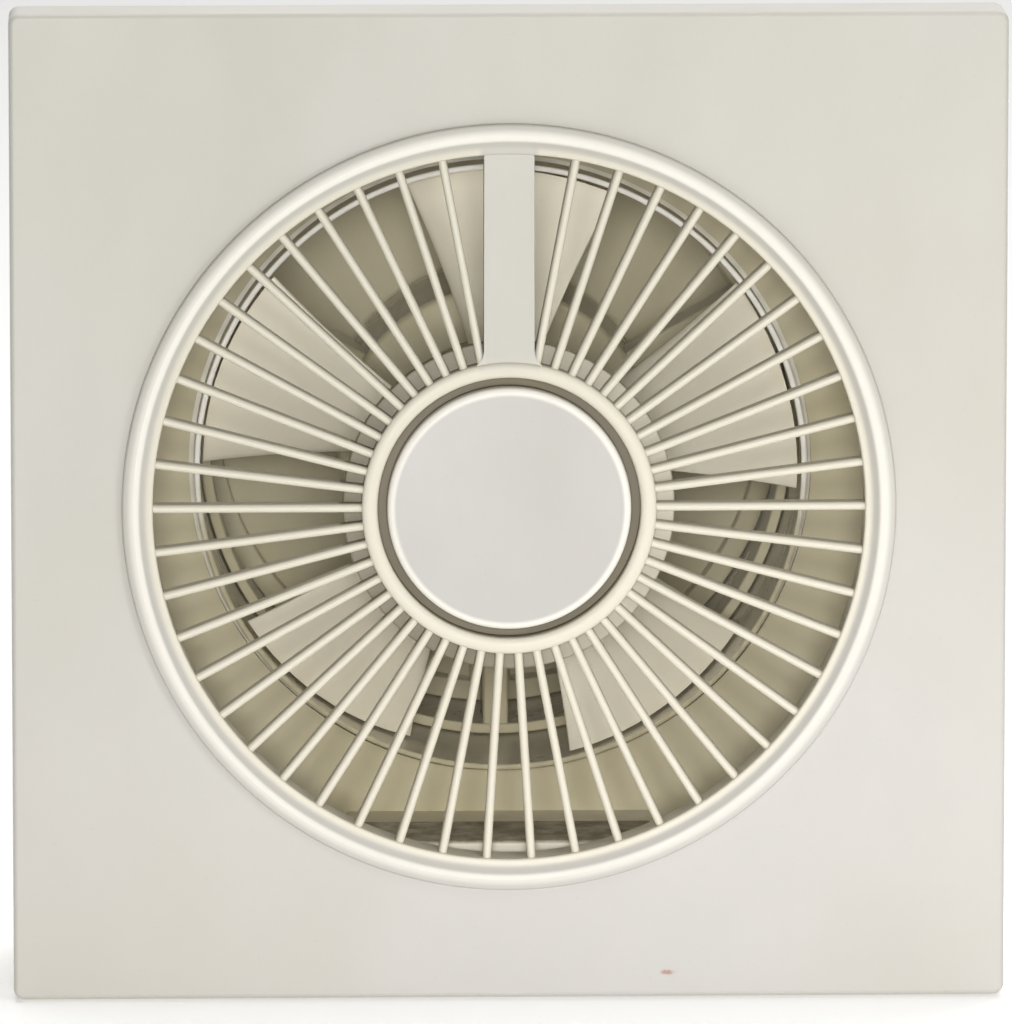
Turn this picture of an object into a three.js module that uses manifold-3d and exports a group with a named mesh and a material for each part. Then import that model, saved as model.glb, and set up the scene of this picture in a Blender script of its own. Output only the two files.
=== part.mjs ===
// Bathroom extractor fan for a 100 mm duct, in millimetres.
// The fan turns about the Y axis. The wall is the plane y = 0, the room is towards -Y, and +Z is up.

import * as THREE from 'three';
import { mergeVertices } from 'three/addons/utils/BufferGeometryUtils.js';
import Module from 'manifold-3d';

const wasm = await Module();
wasm.setup();

// ---------------------------------------------------------------- driving dimensions

const GAP = 0.3;                    // air left between a piece and its neighbour

const PLATE_HALF = 76;              // half the side of the square front plate
const PLATE_FRONT_Y = -48;
const PLATE_SKIN = 2.2;
const PLATE_EDGE_ROUND = 0.8;
const PLATE_CORNER_R = 2;           // of the plate's outline, seen from the room
const SKIRT_DEPTH = 12;
const SKIRT_WALL = 2;
const PLATE_BACK_Y = PLATE_FRONT_Y + PLATE_SKIN;

const OPENING_R = 54.4;             // round opening in the plate
const RIM_OUTER_R = 59.2;             // raised bead round the opening
const RIM_CREST_R = 57.2;
const RIM_HEIGHT = 1.7;
const RIM_LIP_HEIGHT = 0.5;
const RIM_COLLAR_R = 56;            // short collar behind the bead
const RIM_COLLAR_Y = PLATE_BACK_Y + 4;

const RIB_PITCH_DEG = 7.2;
const RIB_PLACES = 50;
const RIB_WIDTH = 1.3;
const RIB_FRONT_Y = PLATE_FRONT_Y + 0.1;
const RIB_BACK_Y = PLATE_FRONT_Y + 3.2;
const SPOKE_HALF_WIDTH = 3.85;
const HUB_RING_OUTER_R = 22.5;
const HUB_RING_INNER_R = 20.1;
const HUB_RING_CREST = 0.9;         // how far the hub ring stands in front of the plate
const HUB_DISC_R = 25.4;
const HUB_DISC_FRONT_Y = PLATE_FRONT_Y + 3;
const HUB_DISC_BACK_Y = PLATE_FRONT_Y + 4.8;
const CAP_R = 18.7;
const CAP_CREST = 1.5;
const CAP_EDGE_ROUND = 1.1;
const CAP_STEM_R = 2.5;
const CAP_STEM_END_Y = HUB_DISC_BACK_Y + 3;

const TRAY_HALF = 71;               // housing tray behind the plate
const TRAY_WALL = 2;
const TRAY_FRONT_Y = PLATE_BACK_Y + GAP;
const TRAY_CORNER_R = 3;
const FLOOR_FRONT_Y = -2.5;
const WALL_Y = 0;
const TONGUE_THICK = 1.5;
const TONGUE_WIDTH = 10;
const TONGUE_PLACES_Z = [-25, 25];
const TONGUE_END_Y = -31;

const DUCT_R = 46.9;                // inside of the throat and spigot
const SPIGOT_WALL = 1.5;
const SPIGOT_OUTER_R = DUCT_R + SPIGOT_WALL;
const SPIGOT_END_Y = 62;
const COLLAR_FRONT_Y = -7;          // the throat stands in front of the tray floor as a thin collar
const COLLAR_WALL = 0.9;
const GROOVE_WIDTH = 0.8;           // groove in the floor round the collar
const GROOVE_DEPTH = 1.6;

const FIXING_AT = 57;               // wall screw keyholes, from the axis
const FIXING_HEAD_R = 4.5;
const FIXING_SLOT_R = 2.3;
const FIXING_SLOT_RUN = 6;

const IMPELLER_TIP_R = 46.3;
const IMPELLER_HUB_R = 18.5;
const IMPELLER_FRONT_Y = -8.5;
const IMPELLER_BACK_Y = 8;
const IMPELLER_SKIN = 1.6;
const BLADE_COUNT = 5;
const BLADE_FIRST_DEG = 16;
const BLADE_MID_Y = -0.8;
const BLADE_PITCH_DEPTH = 9.5;
const BLADE_THICK = 1.4;
const BLADE_ROOT_HALF_DEG = 16.5;
const BLADE_TIP_HALF_DEG = 20.5;

const BLADE_CAMBER = 1.2;
const HUB_BORE_WALL_R = 4.6;        // outside of the tube inside the hub that grips the shaft
const HUB_BORE_END_Y = -5.9;
const CLIP_INNER_R = 5.15;          // spring clip round that tube
const CLIP_OUTER_R = 6.3;
const CLIP_FRONT_Y = 1.7;
const CLIP_BACK_Y = 4.3;
const CLIP_MOUTH_HALF = 1.1;

const SHAFT_R = 2;
const SHAFT_FRONT_Y = -5.5;
const SHAFT_BACK_Y = 47.5;
const ON_SHAFT_R = SHAFT_R + GAP;

const STRUT_PLACES_DEG = [30, 150, 270];
const STRUT_WIDTH = 4;
const STRUT_FRONT_Y = 20;
const STRUT_BACK_Y = 29;
const CARRIER_RING_R = DUCT_R - GAP;
const CARRIER_RING_WALL = 1.6;
const CAN_R = 25;
const CAN_WALL = 1.6;
const CAN_FRONT_Y = 17.8;
const CAN_BACK_Y = 46;
const BEARING_R = 5;
const BEARING_LENGTH = 4;
const BEARING_SEAT_R = BEARING_R + GAP;
const BEARING_BOSS_R = 7.2;
const FRONT_BEARING_Y = 18.7;
const REAR_BEARING_Y = 44;
const REAR_COVER_BACK_Y = 49.2;
const REAR_COVER_SKIN = 1.5;
const LUG_REACH = 31;
const LUG_HALF_WIDTH = 4;
const LUG_DEPTH = 8;
const MOTOR_SCREW_AT = 27.8;
const MOTOR_SCREW_HEAD_R = 2.8;
const MOTOR_SCREW_HEAD_HIGH = 1.8;
const MOTOR_SCREW_SHANK_R = 1.4;
const WASHER_R = 4.4;
const WASHER_THICK = 0.7;
const FRONT_WASHER_Y = 23;
const REAR_WASHER_Y = 42.9;

const STACK_FRONT_Y = 26.3;
const STACK_BACK_Y = 40.3;
const STACK_MID_Y = (STACK_FRONT_Y + STACK_BACK_Y) / 2;
const STATOR_OUTER_R = CAN_R - CAN_WALL - 0.4;
const STATOR_YOKE_R = 19.6;
const STATOR_BORE_R = 10.8;
const STATOR_SHOE_R = 13.2;
const STATOR_NECK_HALF = 4;
const SHOE_HALF_DEG = 65;
const SHADING_SLOT_OUTER_R = 12.1;  // slot in the pole shoe that the shading ring sits in
const SHADING_SLOT_DEG = [37.5, 44.5];
const SHADING_RING_INNER_R = 11.05;
const SHADING_RING_OUTER_R = 11.8;
const SHADING_RING_DEG = [39, 70.7];
const SHADING_BAR_DEG = 4;
const BOBBIN_INNER_X = 13.5;
const BOBBIN_OUTER_X = 17.3;
const BOBBIN_SKIN = 0.6;
const BOBBIN_FLANGE_HALF_Y = 11.6;
const BOBBIN_FLANGE_HALF_Z = 8.3;
const ROTOR_R = 10.2;
const END_RING_INNER_R = 6;
const END_RING_OUTER_R = 9.4;
const END_RING_LENGTH = 2;

const SHUTTER_FRONT_Y = 51;
const SHUTTER_BACK_Y = 60;
const SHUTTER_PIN_Y = 56.5;
const SHUTTER_PIN_R = 1.2;
const SHUTTER_PIN_HALF = 46.2;
const SHUTTER_STOP_R = 43.4;        // inside of the ledge that the closed flaps stop short of
const SHUTTER_RING_INNER_R = 45;
const SHUTTER_BAR_HALF = 3.2;
const SHUTTER_BAR_THICK = 2.3;
const KNUCKLE_R = 2.7;
const FLAP_R = 44.5;
const FLAP_EDGE_X = 3;
const FLAP_THICK = 1;
const STIFFENER_PLACES_Z = [-22, 0, 22];
const STIFFENER_START_X = 9;
const STIFFENER_END_X = 36;
const STIFFENER_HIGH = 1.2;
const SPRING_R = 2;
const SPRING_WIRE_R = 0.3;
const SPRING_TURNS = 4;
const SPRING_PITCH = 1.05;

const PLATFORM_FRONT_Y = -20;       // raised base of the wiring compartment
const PLATFORM_HALF_WIDTH = 24;
const PLATFORM_TOP_Z = -55;
const PLATFORM_SKIN = 1.6;
const PLATFORM_TOP_SKIN = 1.2;
const TERMINAL_COVER_HALF_WIDTH = 23;
const TERMINAL_COVER_TOP_Z = -53.4;
const TERMINAL_COVER_FRONT_Y = -38;
const TERMINAL_COVER_WALL = 1.6;
const TERMINAL_COVER_BOTTOM_Z = -TRAY_HALF + TRAY_WALL + 0.4;
const COVER_SCREW_HEAD_R = 2.8;
const COVER_SCREW_HEAD_HIGH = 1.4;
const COVER_SCREW_SHANK_R = 1.2;
const COVER_SCREW_END_Y = -30;
const TERMINAL_PLACES_X = [-16.5, -10, -3.5];
const TERMINAL_GROOVE_PLACES_X = [-13.25, -6.75];
const TERMINAL_BLOCK_LEFT_X = -20;
const TERMINAL_BLOCK_RIGHT_X = 0;
const TERMINAL_BLOCK_FRONT_Y = -31;
const TERMINAL_TOP_Z = -58.8;
const TERMINAL_BOTTOM_Z = -68.2;
const TERMINAL_BORE_Y = -24.3;
const TERMINAL_BORE_R = 2.2;
const INSERT_OUTER_R = 1.9;
const INSERT_INNER_R = 1.3;
const TERMINAL_SCREW_R = 1.2;
const TERMINAL_SCREW_FRONT_Y = -30.4;
const TERMINAL_SCREW_PLACES_Z = [-65.6, -61.6];
const POST_R = 1.9;
const CLAMP_X = 9;
const CLAMP_HALF_WIDTH = 2.4;
const CLAMP_FRONT_Y = PLATFORM_FRONT_Y - 6.3;
const CLAMP_BACK_Y = PLATFORM_FRONT_Y - 3.8;
const CLAMP_SCREW_HEAD_R = 1.7;
const CLAMP_SCREW_HEAD_HIGH = 1.3;
const CLAMP_SCREW_SHANK_R = 0.9;
const CLAMP_POST_PLACES_Z = [-66.4, -57.3];
const COVER_POST_X = 3.2;
const COVER_POST_Z = -62;
const GROMMET_X = 15.6;
const GROMMET_Z = -61.8;
const GROMMET_BORE_R = 2.8;
const GROMMET_NECK_R = 4;
const GROMMET_LIP_R = 5.2;
const LEAD_R = 0.75;
const LEAD_APART = 2.5;             // between the two leads where they run side by side
const LEAD_SLOT_HALF = 2.6;
const LEAD_GUTTER_DEPTH = 2.1;
const LEAD_GUTTER_Y = -0.85;
const LEAD_HOLE_Z = -57.3;

// Segments in a full circle, by the size of the circle.
const LARGE = 48;
const MEDIUM = 24;
const SMALL = 16;
const TINY = 12;

// ---------------------------------------------------------------- materials

const creamPlastic = { color: 0xded9cc, roughness: 0.5, metalness: 0 };
const whitePlastic = { color: 0xdedbd5, roughness: 0.45, metalness: 0 };
const paleGreyPlastic = { color: 0xc9c4b4, roughness: 0.6, metalness: 0 };
const dullPlastic = { color: 0xb9b39d, roughness: 0.65, metalness: 0 };
const blackNylon = { color: 0x24241f, roughness: 0.6, metalness: 0 };
const laminatedSteel = { color: 0x6f6c68, roughness: 0.55, metalness: 0.9 };
const brightSteel = { color: 0xb9bcc0, roughness: 0.3, metalness: 1 };
const castAluminium = { color: 0xb4b6b8, roughness: 0.45, metalness: 1 };
const bronze = { color: 0x9a6b3c, roughness: 0.5, metalness: 1 };
const copper = { color: 0xa85a32, roughness: 0.35, metalness: 1 };
const brass = { color: 0xb59a55, roughness: 0.35, metalness: 1 };
const blackRubber = { color: 0x1f1f1f, roughness: 0.85, metalness: 0 };
const brownSleeve = { color: 0x5d3a22, roughness: 0.5, metalness: 0 };
const blueSleeve = { color: 0x2f5f9a, roughness: 0.5, metalness: 0 };

// ---------------------------------------------------------------- solids

const degrees = (angle) => angle * Math.PI / 180;

function volumeOf(points, triangles) {
  let volume = 0;
  for (let i = 0; i < triangles.length; i += 3) {
    const a = new THREE.Vector3().fromArray(points, triangles[i] * 3);
    const b = new THREE.Vector3().fromArray(points, triangles[i + 1] * 3);
    const c = new THREE.Vector3().fromArray(points, triangles[i + 2] * 3);
    volume += a.dot(b.cross(c)) / 6;
  }
  return volume;
}

// A closed three.js geometry as a solid, facing outwards and without collapsed triangles.
function solidOf(geometry) {
  const bare = geometry.clone();
  bare.deleteAttribute('normal');
  bare.deleteAttribute('uv');
  const merged = mergeVertices(bare, 1e-4);
  const points = Float32Array.from(merged.attributes.position.array);
  const corners = Array.from(merged.index.array);
  const triangles = [];
  for (let i = 0; i < corners.length; i += 3) {
    const [a, b, c] = corners.slice(i, i + 3);
    if (a !== b && b !== c && c !== a) triangles.push(a, b, c);
  }
  if (volumeOf(points, triangles) < 0) triangles.reverse();
  const mesh = { numProp: 3, vertProperties: points, triVerts: Uint32Array.from(triangles) };
  return new wasm.Manifold(new wasm.Mesh(mesh));
}

function block(x0, x1, y0, y1, z0, z1) {
  const geometry = new THREE.BoxGeometry(x1 - x0, y1 - y0, z1 - z0);
  return solidOf(geometry.translate((x0 + x1) / 2, (y0 + y1) / 2, (z0 + z1) / 2));
}

// A round bar along Y, between y0 and y1.
function barY(radius, y0, y1, x = 0, z = 0, segments = SMALL) {
  const geometry = new THREE.CylinderGeometry(radius, radius, y1 - y0, segments);
  return solidOf(geometry.translate(x, (y0 + y1) / 2, z));
}

function barX(radius, x0, x1, y, z, segments = TINY) {
  const geometry = new THREE.CylinderGeometry(radius, radius, x1 - x0, segments);
  return solidOf(geometry.rotateZ(Math.PI / 2).translate((x0 + x1) / 2, y, z));
}

function barZ(radius, z0, z1, x, y, segments = TINY) {
  const geometry = new THREE.CylinderGeometry(radius, radius, z1 - z0, segments);
  return solidOf(geometry.rotateX(Math.PI / 2).translate(x, y, (z0 + z1) / 2));
}

// A solid turned round the Y axis from a profile of [radius, y] points, closed here on itself.
function turned(profile, segments = MEDIUM) {
  const points = [...profile, profile[0]].map(([radius, y]) => new THREE.Vector2(radius, y));
  return solidOf(new THREE.LatheGeometry(points, segments));
}

function tubeY(inner, outer, y0, y1, segments = MEDIUM) {
  return turned([[inner, y0], [outer, y0], [outer, y1], [inner, y1]], segments);
}

// A flat outline drawn as seen from the front (x right, z up), given thickness from y0 to y1.
function prism(shape, y0, y1, curveSegments = 12, bevel = 0) {
  const options = { depth: y1 - y0 - 2 * bevel, curveSegments, bevelEnabled: bevel > 0 };
  const rounded = { bevelThickness: bevel, bevelSize: bevel, bevelOffset: -bevel, bevelSegments: 2 };
  const geometry = new THREE.ExtrudeGeometry(shape, { ...options, ...rounded });
  return solidOf(geometry.rotateX(Math.PI / 2).translate(0, y1 - bevel, 0));
}

function roundedSquare(half, radius) {
  const shape = new THREE.Shape();
  const inset = half - radius;
  shape.absarc(inset, inset, radius, 0, Math.PI / 2);
  shape.absarc(-inset, inset, radius, Math.PI / 2, Math.PI);
  shape.absarc(-inset, -inset, radius, Math.PI, Math.PI * 1.5);
  shape.absarc(inset, -inset, radius, Math.PI * 1.5, Math.PI * 2);
  return shape;
}

// A piece of a flat ring between two angles, counted anticlockwise from +X as seen from the front.
function ringSector(inner, outer, fromDeg, toDeg, y0, y1, curveSegments = 12) {
  const shape = new THREE.Shape();
  shape.absarc(0, 0, outer, degrees(fromDeg), degrees(toDeg), false);
  shape.absarc(0, 0, inner, degrees(toDeg), degrees(fromDeg), true);
  return prism(shape, y0, y1, curveSegments);
}

const union = (solids) => solids.reduce((whole, solid) => whole.add(solid));
const cut = (solid, tools) => tools.reduce((rest, tool) => rest.subtract(tool), solid);
const turnY = (solid, angleDeg) => solid.rotate([0, -angleDeg, 0]);
const mirrorX = (solid) => solid.mirror([1, 0, 0]);

// A round section of a given radius swept along a smooth curve through the points.
function wire(points, radius, steps, sides = 8) {
  const places = points.map((point) => new THREE.Vector3(...point));
  const curve = new THREE.CatmullRomCurve3(places, false, 'centripetal');
  const section = new THREE.Shape();
  for (let side = 0; side < sides; side += 1) {
    const angle = 2 * Math.PI * side / sides;
    const place = [radius * Math.cos(angle), radius * Math.sin(angle)];
    if (side === 0) section.moveTo(...place);
    else section.lineTo(...place);
  }
  return solidOf(new THREE.ExtrudeGeometry(section, { steps, extrudePath: curve, bevelEnabled: false }));
}

// ---------------------------------------------------------------- front cover

// The bead is steep outside and rounded at its crest, and slopes gently in to a small lip at the opening.
function rimBead() {
  const crestY = PLATE_FRONT_Y - RIM_HEIGHT;
  const lipY = PLATE_FRONT_Y - RIM_LIP_HEIGHT;
  const profile = [
    [OPENING_R, RIM_COLLAR_Y],
    [OPENING_R, lipY + 0.3],
    [OPENING_R + 0.3, lipY],
    [OPENING_R + 0.9, lipY - 0.1],
    [RIM_CREST_R - 0.7, crestY + 0.15],
    [RIM_CREST_R, crestY],
    [RIM_OUTER_R - 0.3, crestY + 0.4],
    [RIM_OUTER_R, crestY + 1],
    [RIM_OUTER_R, PLATE_BACK_Y],
    [RIM_COLLAR_R, PLATE_BACK_Y],
    [RIM_COLLAR_R, RIM_COLLAR_Y],
  ];
  return turned(profile, LARGE);
}

function hubRing() {
  const middle = (HUB_RING_INNER_R + HUB_RING_OUTER_R) / 2;
  const half = (HUB_RING_OUTER_R - HUB_RING_INNER_R) / 2;
  const crestSteps = 4;
  const profile = [[HUB_RING_INNER_R, HUB_DISC_FRONT_Y + 0.5]];
  for (let step = 0; step <= crestSteps; step += 1) {
    const angle = Math.PI * step / crestSteps;
    profile.push([middle - half * Math.cos(angle), PLATE_FRONT_Y - HUB_RING_CREST * Math.sin(angle)]);
  }
  profile.push([HUB_RING_OUTER_R, HUB_DISC_FRONT_Y + 0.5]);
  return turned(profile, LARGE);
}

function spoke() {
  const fillet = 2;
  const inner = HUB_RING_OUTER_R - 1;
  const outer = OPENING_R + 1;
  const shape = new THREE.Shape();
  shape.moveTo(-SPOKE_HALF_WIDTH - fillet, inner);
  shape.quadraticCurveTo(-SPOKE_HALF_WIDTH, inner + 0.5, -SPOKE_HALF_WIDTH, inner + 1 + fillet);
  shape.lineTo(-SPOKE_HALF_WIDTH, outer);
  shape.lineTo(SPOKE_HALF_WIDTH, outer);
  shape.lineTo(SPOKE_HALF_WIDTH, inner + 1 + fillet);
  shape.quadraticCurveTo(SPOKE_HALF_WIDTH, inner + 0.5, SPOKE_HALF_WIDTH + fillet, inner);
  return prism(shape, PLATE_FRONT_Y - 0.2, RIB_BACK_Y, 4);
}

function ribs() {
  const solids = [];
  for (let place = 0; place < RIB_PLACES; place += 1) {
    const angle = place * RIB_PITCH_DEG;
    const underSpoke = Math.abs(angle - 90) < RIB_PITCH_DEG;
    const half = RIB_WIDTH / 2;
    const rib = block(HUB_RING_OUTER_R - 1, OPENING_R + 1, RIB_FRONT_Y, RIB_BACK_Y, -half, half);
    if (!underSpoke) solids.push(turnY(rib, angle));
  }
  return union(solids);
}

function tongues() {
  const outerX = TRAY_HALF - TRAY_WALL - GAP;
  const half = TONGUE_WIDTH / 2;
  const solids = [];
  for (const z of TONGUE_PLACES_Z) {
    const root = PLATE_BACK_Y - 0.5;
    const tongue = block(outerX - TONGUE_THICK, outerX, root, TONGUE_END_Y, z - half, z + half);
    solids.push(tongue, mirrorX(tongue));
  }
  return union(solids);
}

function frontCover() {
  const skirtBackY = PLATE_FRONT_Y + SKIRT_DEPTH;
  const spare = 2;
  const outline = roundedSquare(PLATE_HALF, PLATE_CORNER_R);
  const pocket = roundedSquare(PLATE_HALF - SKIRT_WALL, PLATE_CORNER_R);
  const reach = PLATE_HALF + 1;
  const shell = cut(prism(outline, PLATE_FRONT_Y, skirtBackY + spare, 3, PLATE_EDGE_ROUND), [
    prism(pocket, PLATE_BACK_Y, skirtBackY + 2 * spare, 3),
    block(-reach, reach, skirtBackY, skirtBackY + 2 * spare, -reach, reach),
    barY(OPENING_R + 0.8, PLATE_FRONT_Y - 1, PLATE_BACK_Y + 1, 0, 0, LARGE),
  ]);
  const hubDisc = barY(HUB_DISC_R, HUB_DISC_FRONT_Y, HUB_DISC_BACK_Y, 0, 0, LARGE);
  const grille = union([hubRing(), spoke(), ribs(), hubDisc]);
  const stemHole = barY(CAP_STEM_R + GAP, HUB_DISC_FRONT_Y - 1, HUB_DISC_BACK_Y + 1);
  return union([shell, rimBead(), grille, tongues()]).subtract(stemHole);
}

function centreCap() {
  const round = CAP_EDGE_ROUND;
  const faceY = PLATE_FRONT_Y - CAP_CREST;
  const profile = [
    [0, faceY],
    [CAP_R * 0.6, faceY + 0.05],
    [CAP_R - round, faceY + 0.25],
    [CAP_R - round * 0.3, faceY + 0.25 + round * 0.3],
    [CAP_R, faceY + 0.25 + round],
    [CAP_R, HUB_DISC_FRONT_Y - GAP],
    [CAP_STEM_R, HUB_DISC_FRONT_Y - GAP],
    [CAP_STEM_R, CAP_STEM_END_Y],
    [0, CAP_STEM_END_Y],
  ];
  return turned(profile, LARGE);
}

// ---------------------------------------------------------------- housing

function fixingKeyhole(x, z) {
  const front = FLOOR_FRONT_Y - 1;
  const back = WALL_Y + 1;
  const slotTop = z + FIXING_SLOT_RUN;
  return union([
    barY(FIXING_HEAD_R, front, back, x, z),
    barY(FIXING_SLOT_R, front, back, x, slotTop, TINY),
    block(x - FIXING_SLOT_R, x + FIXING_SLOT_R, front, back, z, slotTop),
  ]);
}

function throatCollar() {
  const outer = DUCT_R + COLLAR_WALL;
  const edge = 0.3;
  return turned([
    [DUCT_R, FLOOR_FRONT_Y + 2],
    [DUCT_R, COLLAR_FRONT_Y + edge],
    [DUCT_R + edge, COLLAR_FRONT_Y],
    [outer - edge, COLLAR_FRONT_Y],
    [outer, COLLAR_FRONT_Y + edge],
    [outer, FLOOR_FRONT_Y + 2],
  ], LARGE);
}

function collarGroove() {
  const inner = DUCT_R + COLLAR_WALL;
  return tubeY(inner, inner + GROOVE_WIDTH, FLOOR_FRONT_Y - 1, FLOOR_FRONT_Y + GROOVE_DEPTH, LARGE);
}

function terminalPlatform() {
  const bottom = -TRAY_HALF + TRAY_WALL - 0.5;
  const skin = PLATFORM_SKIN;
  const topSkin = PLATFORM_TOP_SKIN;
  const half = PLATFORM_HALF_WIDTH;
  const outer = block(-half, half, PLATFORM_FRONT_Y, FLOOR_FRONT_Y + 0.5, bottom, PLATFORM_TOP_Z);
  const hollow = block(
    -half + skin, half - skin, PLATFORM_FRONT_Y + skin, WALL_Y + 1,
    -TRAY_HALF + TRAY_WALL + skin, PLATFORM_TOP_Z - topSkin,
  );
  const postBack = PLATFORM_FRONT_Y + 0.5;
  const coverPostFront = TERMINAL_COVER_FRONT_Y + TERMINAL_COVER_WALL + GAP;
  const clampPostFront = CLAMP_BACK_Y + GAP;
  const posts = CLAMP_POST_PLACES_Z.map((z) => barY(POST_R, clampPostFront, postBack, CLAMP_X, z, TINY));
  const coverPost = barY(POST_R, coverPostFront, postBack, COVER_POST_X, COVER_POST_Z, TINY);
  return { solid: union([outer, coverPost, ...posts]), hollow };
}

function housing() {
  const tray = cut(prism(roundedSquare(TRAY_HALF, TRAY_CORNER_R), TRAY_FRONT_Y, WALL_Y, 3), [
    prism(roundedSquare(TRAY_HALF - TRAY_WALL, TRAY_CORNER_R - 1), TRAY_FRONT_Y - 1, FLOOR_FRONT_Y, 3),
  ]);
  const spigot = tubeY(DUCT_R, SPIGOT_OUTER_R, FLOOR_FRONT_Y + GROOVE_DEPTH, SPIGOT_END_Y, LARGE);
  const throat = barY(DUCT_R, COLLAR_FRONT_Y - 1, SPIGOT_END_Y + 1, 0, 0, LARGE);
  const platform = terminalPlatform();
  const sides = [-FIXING_AT, FIXING_AT];
  const keyholes = sides.flatMap((x) => sides.map((z) => fixingKeyhole(x, z)));
  const slot = LEAD_SLOT_HALF;
  const gutterY = WALL_Y - LEAD_GUTTER_DEPTH;
  const leadGutter = block(-slot, slot, gutterY, WALL_Y + 1, PLATFORM_TOP_Z - 2, -SPIGOT_OUTER_R);
  const leadWindow = block(-slot, slot, 30.5, 36, -SPIGOT_OUTER_R - 1, -DUCT_R + 2);
  const throughFront = PLATFORM_FRONT_Y - 1;
  const throughBack = PLATFORM_FRONT_Y + PLATFORM_SKIN + 1;
  const leadHole = (x) => barY(LEAD_R + 0.35, throughFront, throughBack, x, LEAD_HOLE_Z, TINY);
  const leadHoles = TERMINAL_PLACES_X.slice(0, 2).map(leadHole);
  const clampBore = (z) => barY(1.2, PLATFORM_FRONT_Y - 4, PLATFORM_FRONT_Y + 0.4, CLAMP_X, z, TINY);
  const clampBores = CLAMP_POST_PLACES_Z.map(clampBore);
  const coverBoreEnd = COVER_SCREW_END_Y + 0.5;
  const coverBore = barY(1.5, TERMINAL_COVER_FRONT_Y, coverBoreEnd, COVER_POST_X, COVER_POST_Z, TINY);
  const cableEntry = barY(GROMMET_NECK_R + 0.4, throughFront, throughBack, GROMMET_X, GROMMET_Z);
  const body = union([cut(tray, [collarGroove()]), spigot, throatCollar(), platform.solid]).subtract(throat);
  return cut(body, [
    platform.hollow, leadGutter, leadWindow, coverBore, cableEntry, ...keyholes, ...leadHoles, ...clampBores,
  ]);
}

// ---------------------------------------------------------------- impeller

// A blade is a thin slab bent round the axis: its span runs outwards and its chord runs round,
// while it slopes back along Y. Its outline widens towards the tip.
function blade(centreDeg) {
  const rootR = IMPELLER_HUB_R - 1;
  const geometry = new THREE.BoxGeometry(1, 1, 1, 7, 1, 4);
  const position = geometry.attributes.position;
  for (let i = 0; i < position.count; i += 1) {
    const chord = position.getX(i) * 2;
    const face = position.getY(i);
    const span = position.getZ(i) + 0.5;
    const radius = rootR + (IMPELLER_TIP_R - rootR) * span;
    const halfDeg = BLADE_ROOT_HALF_DEG + (BLADE_TIP_HALF_DEG - BLADE_ROOT_HALF_DEG) * span;
    const angle = degrees(centreDeg + halfDeg * chord);
    const camber = BLADE_CAMBER * (1 - chord * chord);
    const y = BLADE_MID_Y + BLADE_PITCH_DEPTH / 2 * chord - camber + BLADE_THICK * face;
    position.setXYZ(i, radius * Math.cos(angle), y, radius * Math.sin(angle));
  }
  return solidOf(geometry);
}

function impeller() {
  const back = IMPELLER_BACK_Y;
  const hub = turned([
    [0, IMPELLER_FRONT_Y],
    [IMPELLER_HUB_R - 3, IMPELLER_FRONT_Y + 0.3],
    [IMPELLER_HUB_R - 0.8, IMPELLER_FRONT_Y + 1.3],
    [IMPELLER_HUB_R, IMPELLER_FRONT_Y + 3],
    [IMPELLER_HUB_R, back],
    [IMPELLER_HUB_R - IMPELLER_SKIN, back],
    [IMPELLER_HUB_R - IMPELLER_SKIN, IMPELLER_FRONT_Y + 3.2],
    [HUB_BORE_WALL_R + 0.4, IMPELLER_FRONT_Y + 2],
    [HUB_BORE_WALL_R, back - 3],
    [ON_SHAFT_R, back - 3],
    [ON_SHAFT_R, HUB_BORE_END_Y],
    [0, HUB_BORE_END_Y],
  ]);
  const blades = [];
  for (let number = 0; number < BLADE_COUNT; number += 1) {
    blades.push(blade(BLADE_FIRST_DEG + number * 360 / BLADE_COUNT));
  }
  const inside = tubeY(5.5, IMPELLER_HUB_R - IMPELLER_SKIN, IMPELLER_FRONT_Y + 3.4, back + 1);
  return hub.add(union(blades).subtract(inside));
}

function impellerClip() {
  const clip = tubeY(CLIP_INNER_R, CLIP_OUTER_R, CLIP_FRONT_Y, CLIP_BACK_Y, SMALL);
  const mouth = block(3, 8, CLIP_FRONT_Y - 1, CLIP_BACK_Y + 1, -CLIP_MOUTH_HALF, CLIP_MOUTH_HALF);
  return clip.subtract(mouth);
}

// ---------------------------------------------------------------- motor

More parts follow.
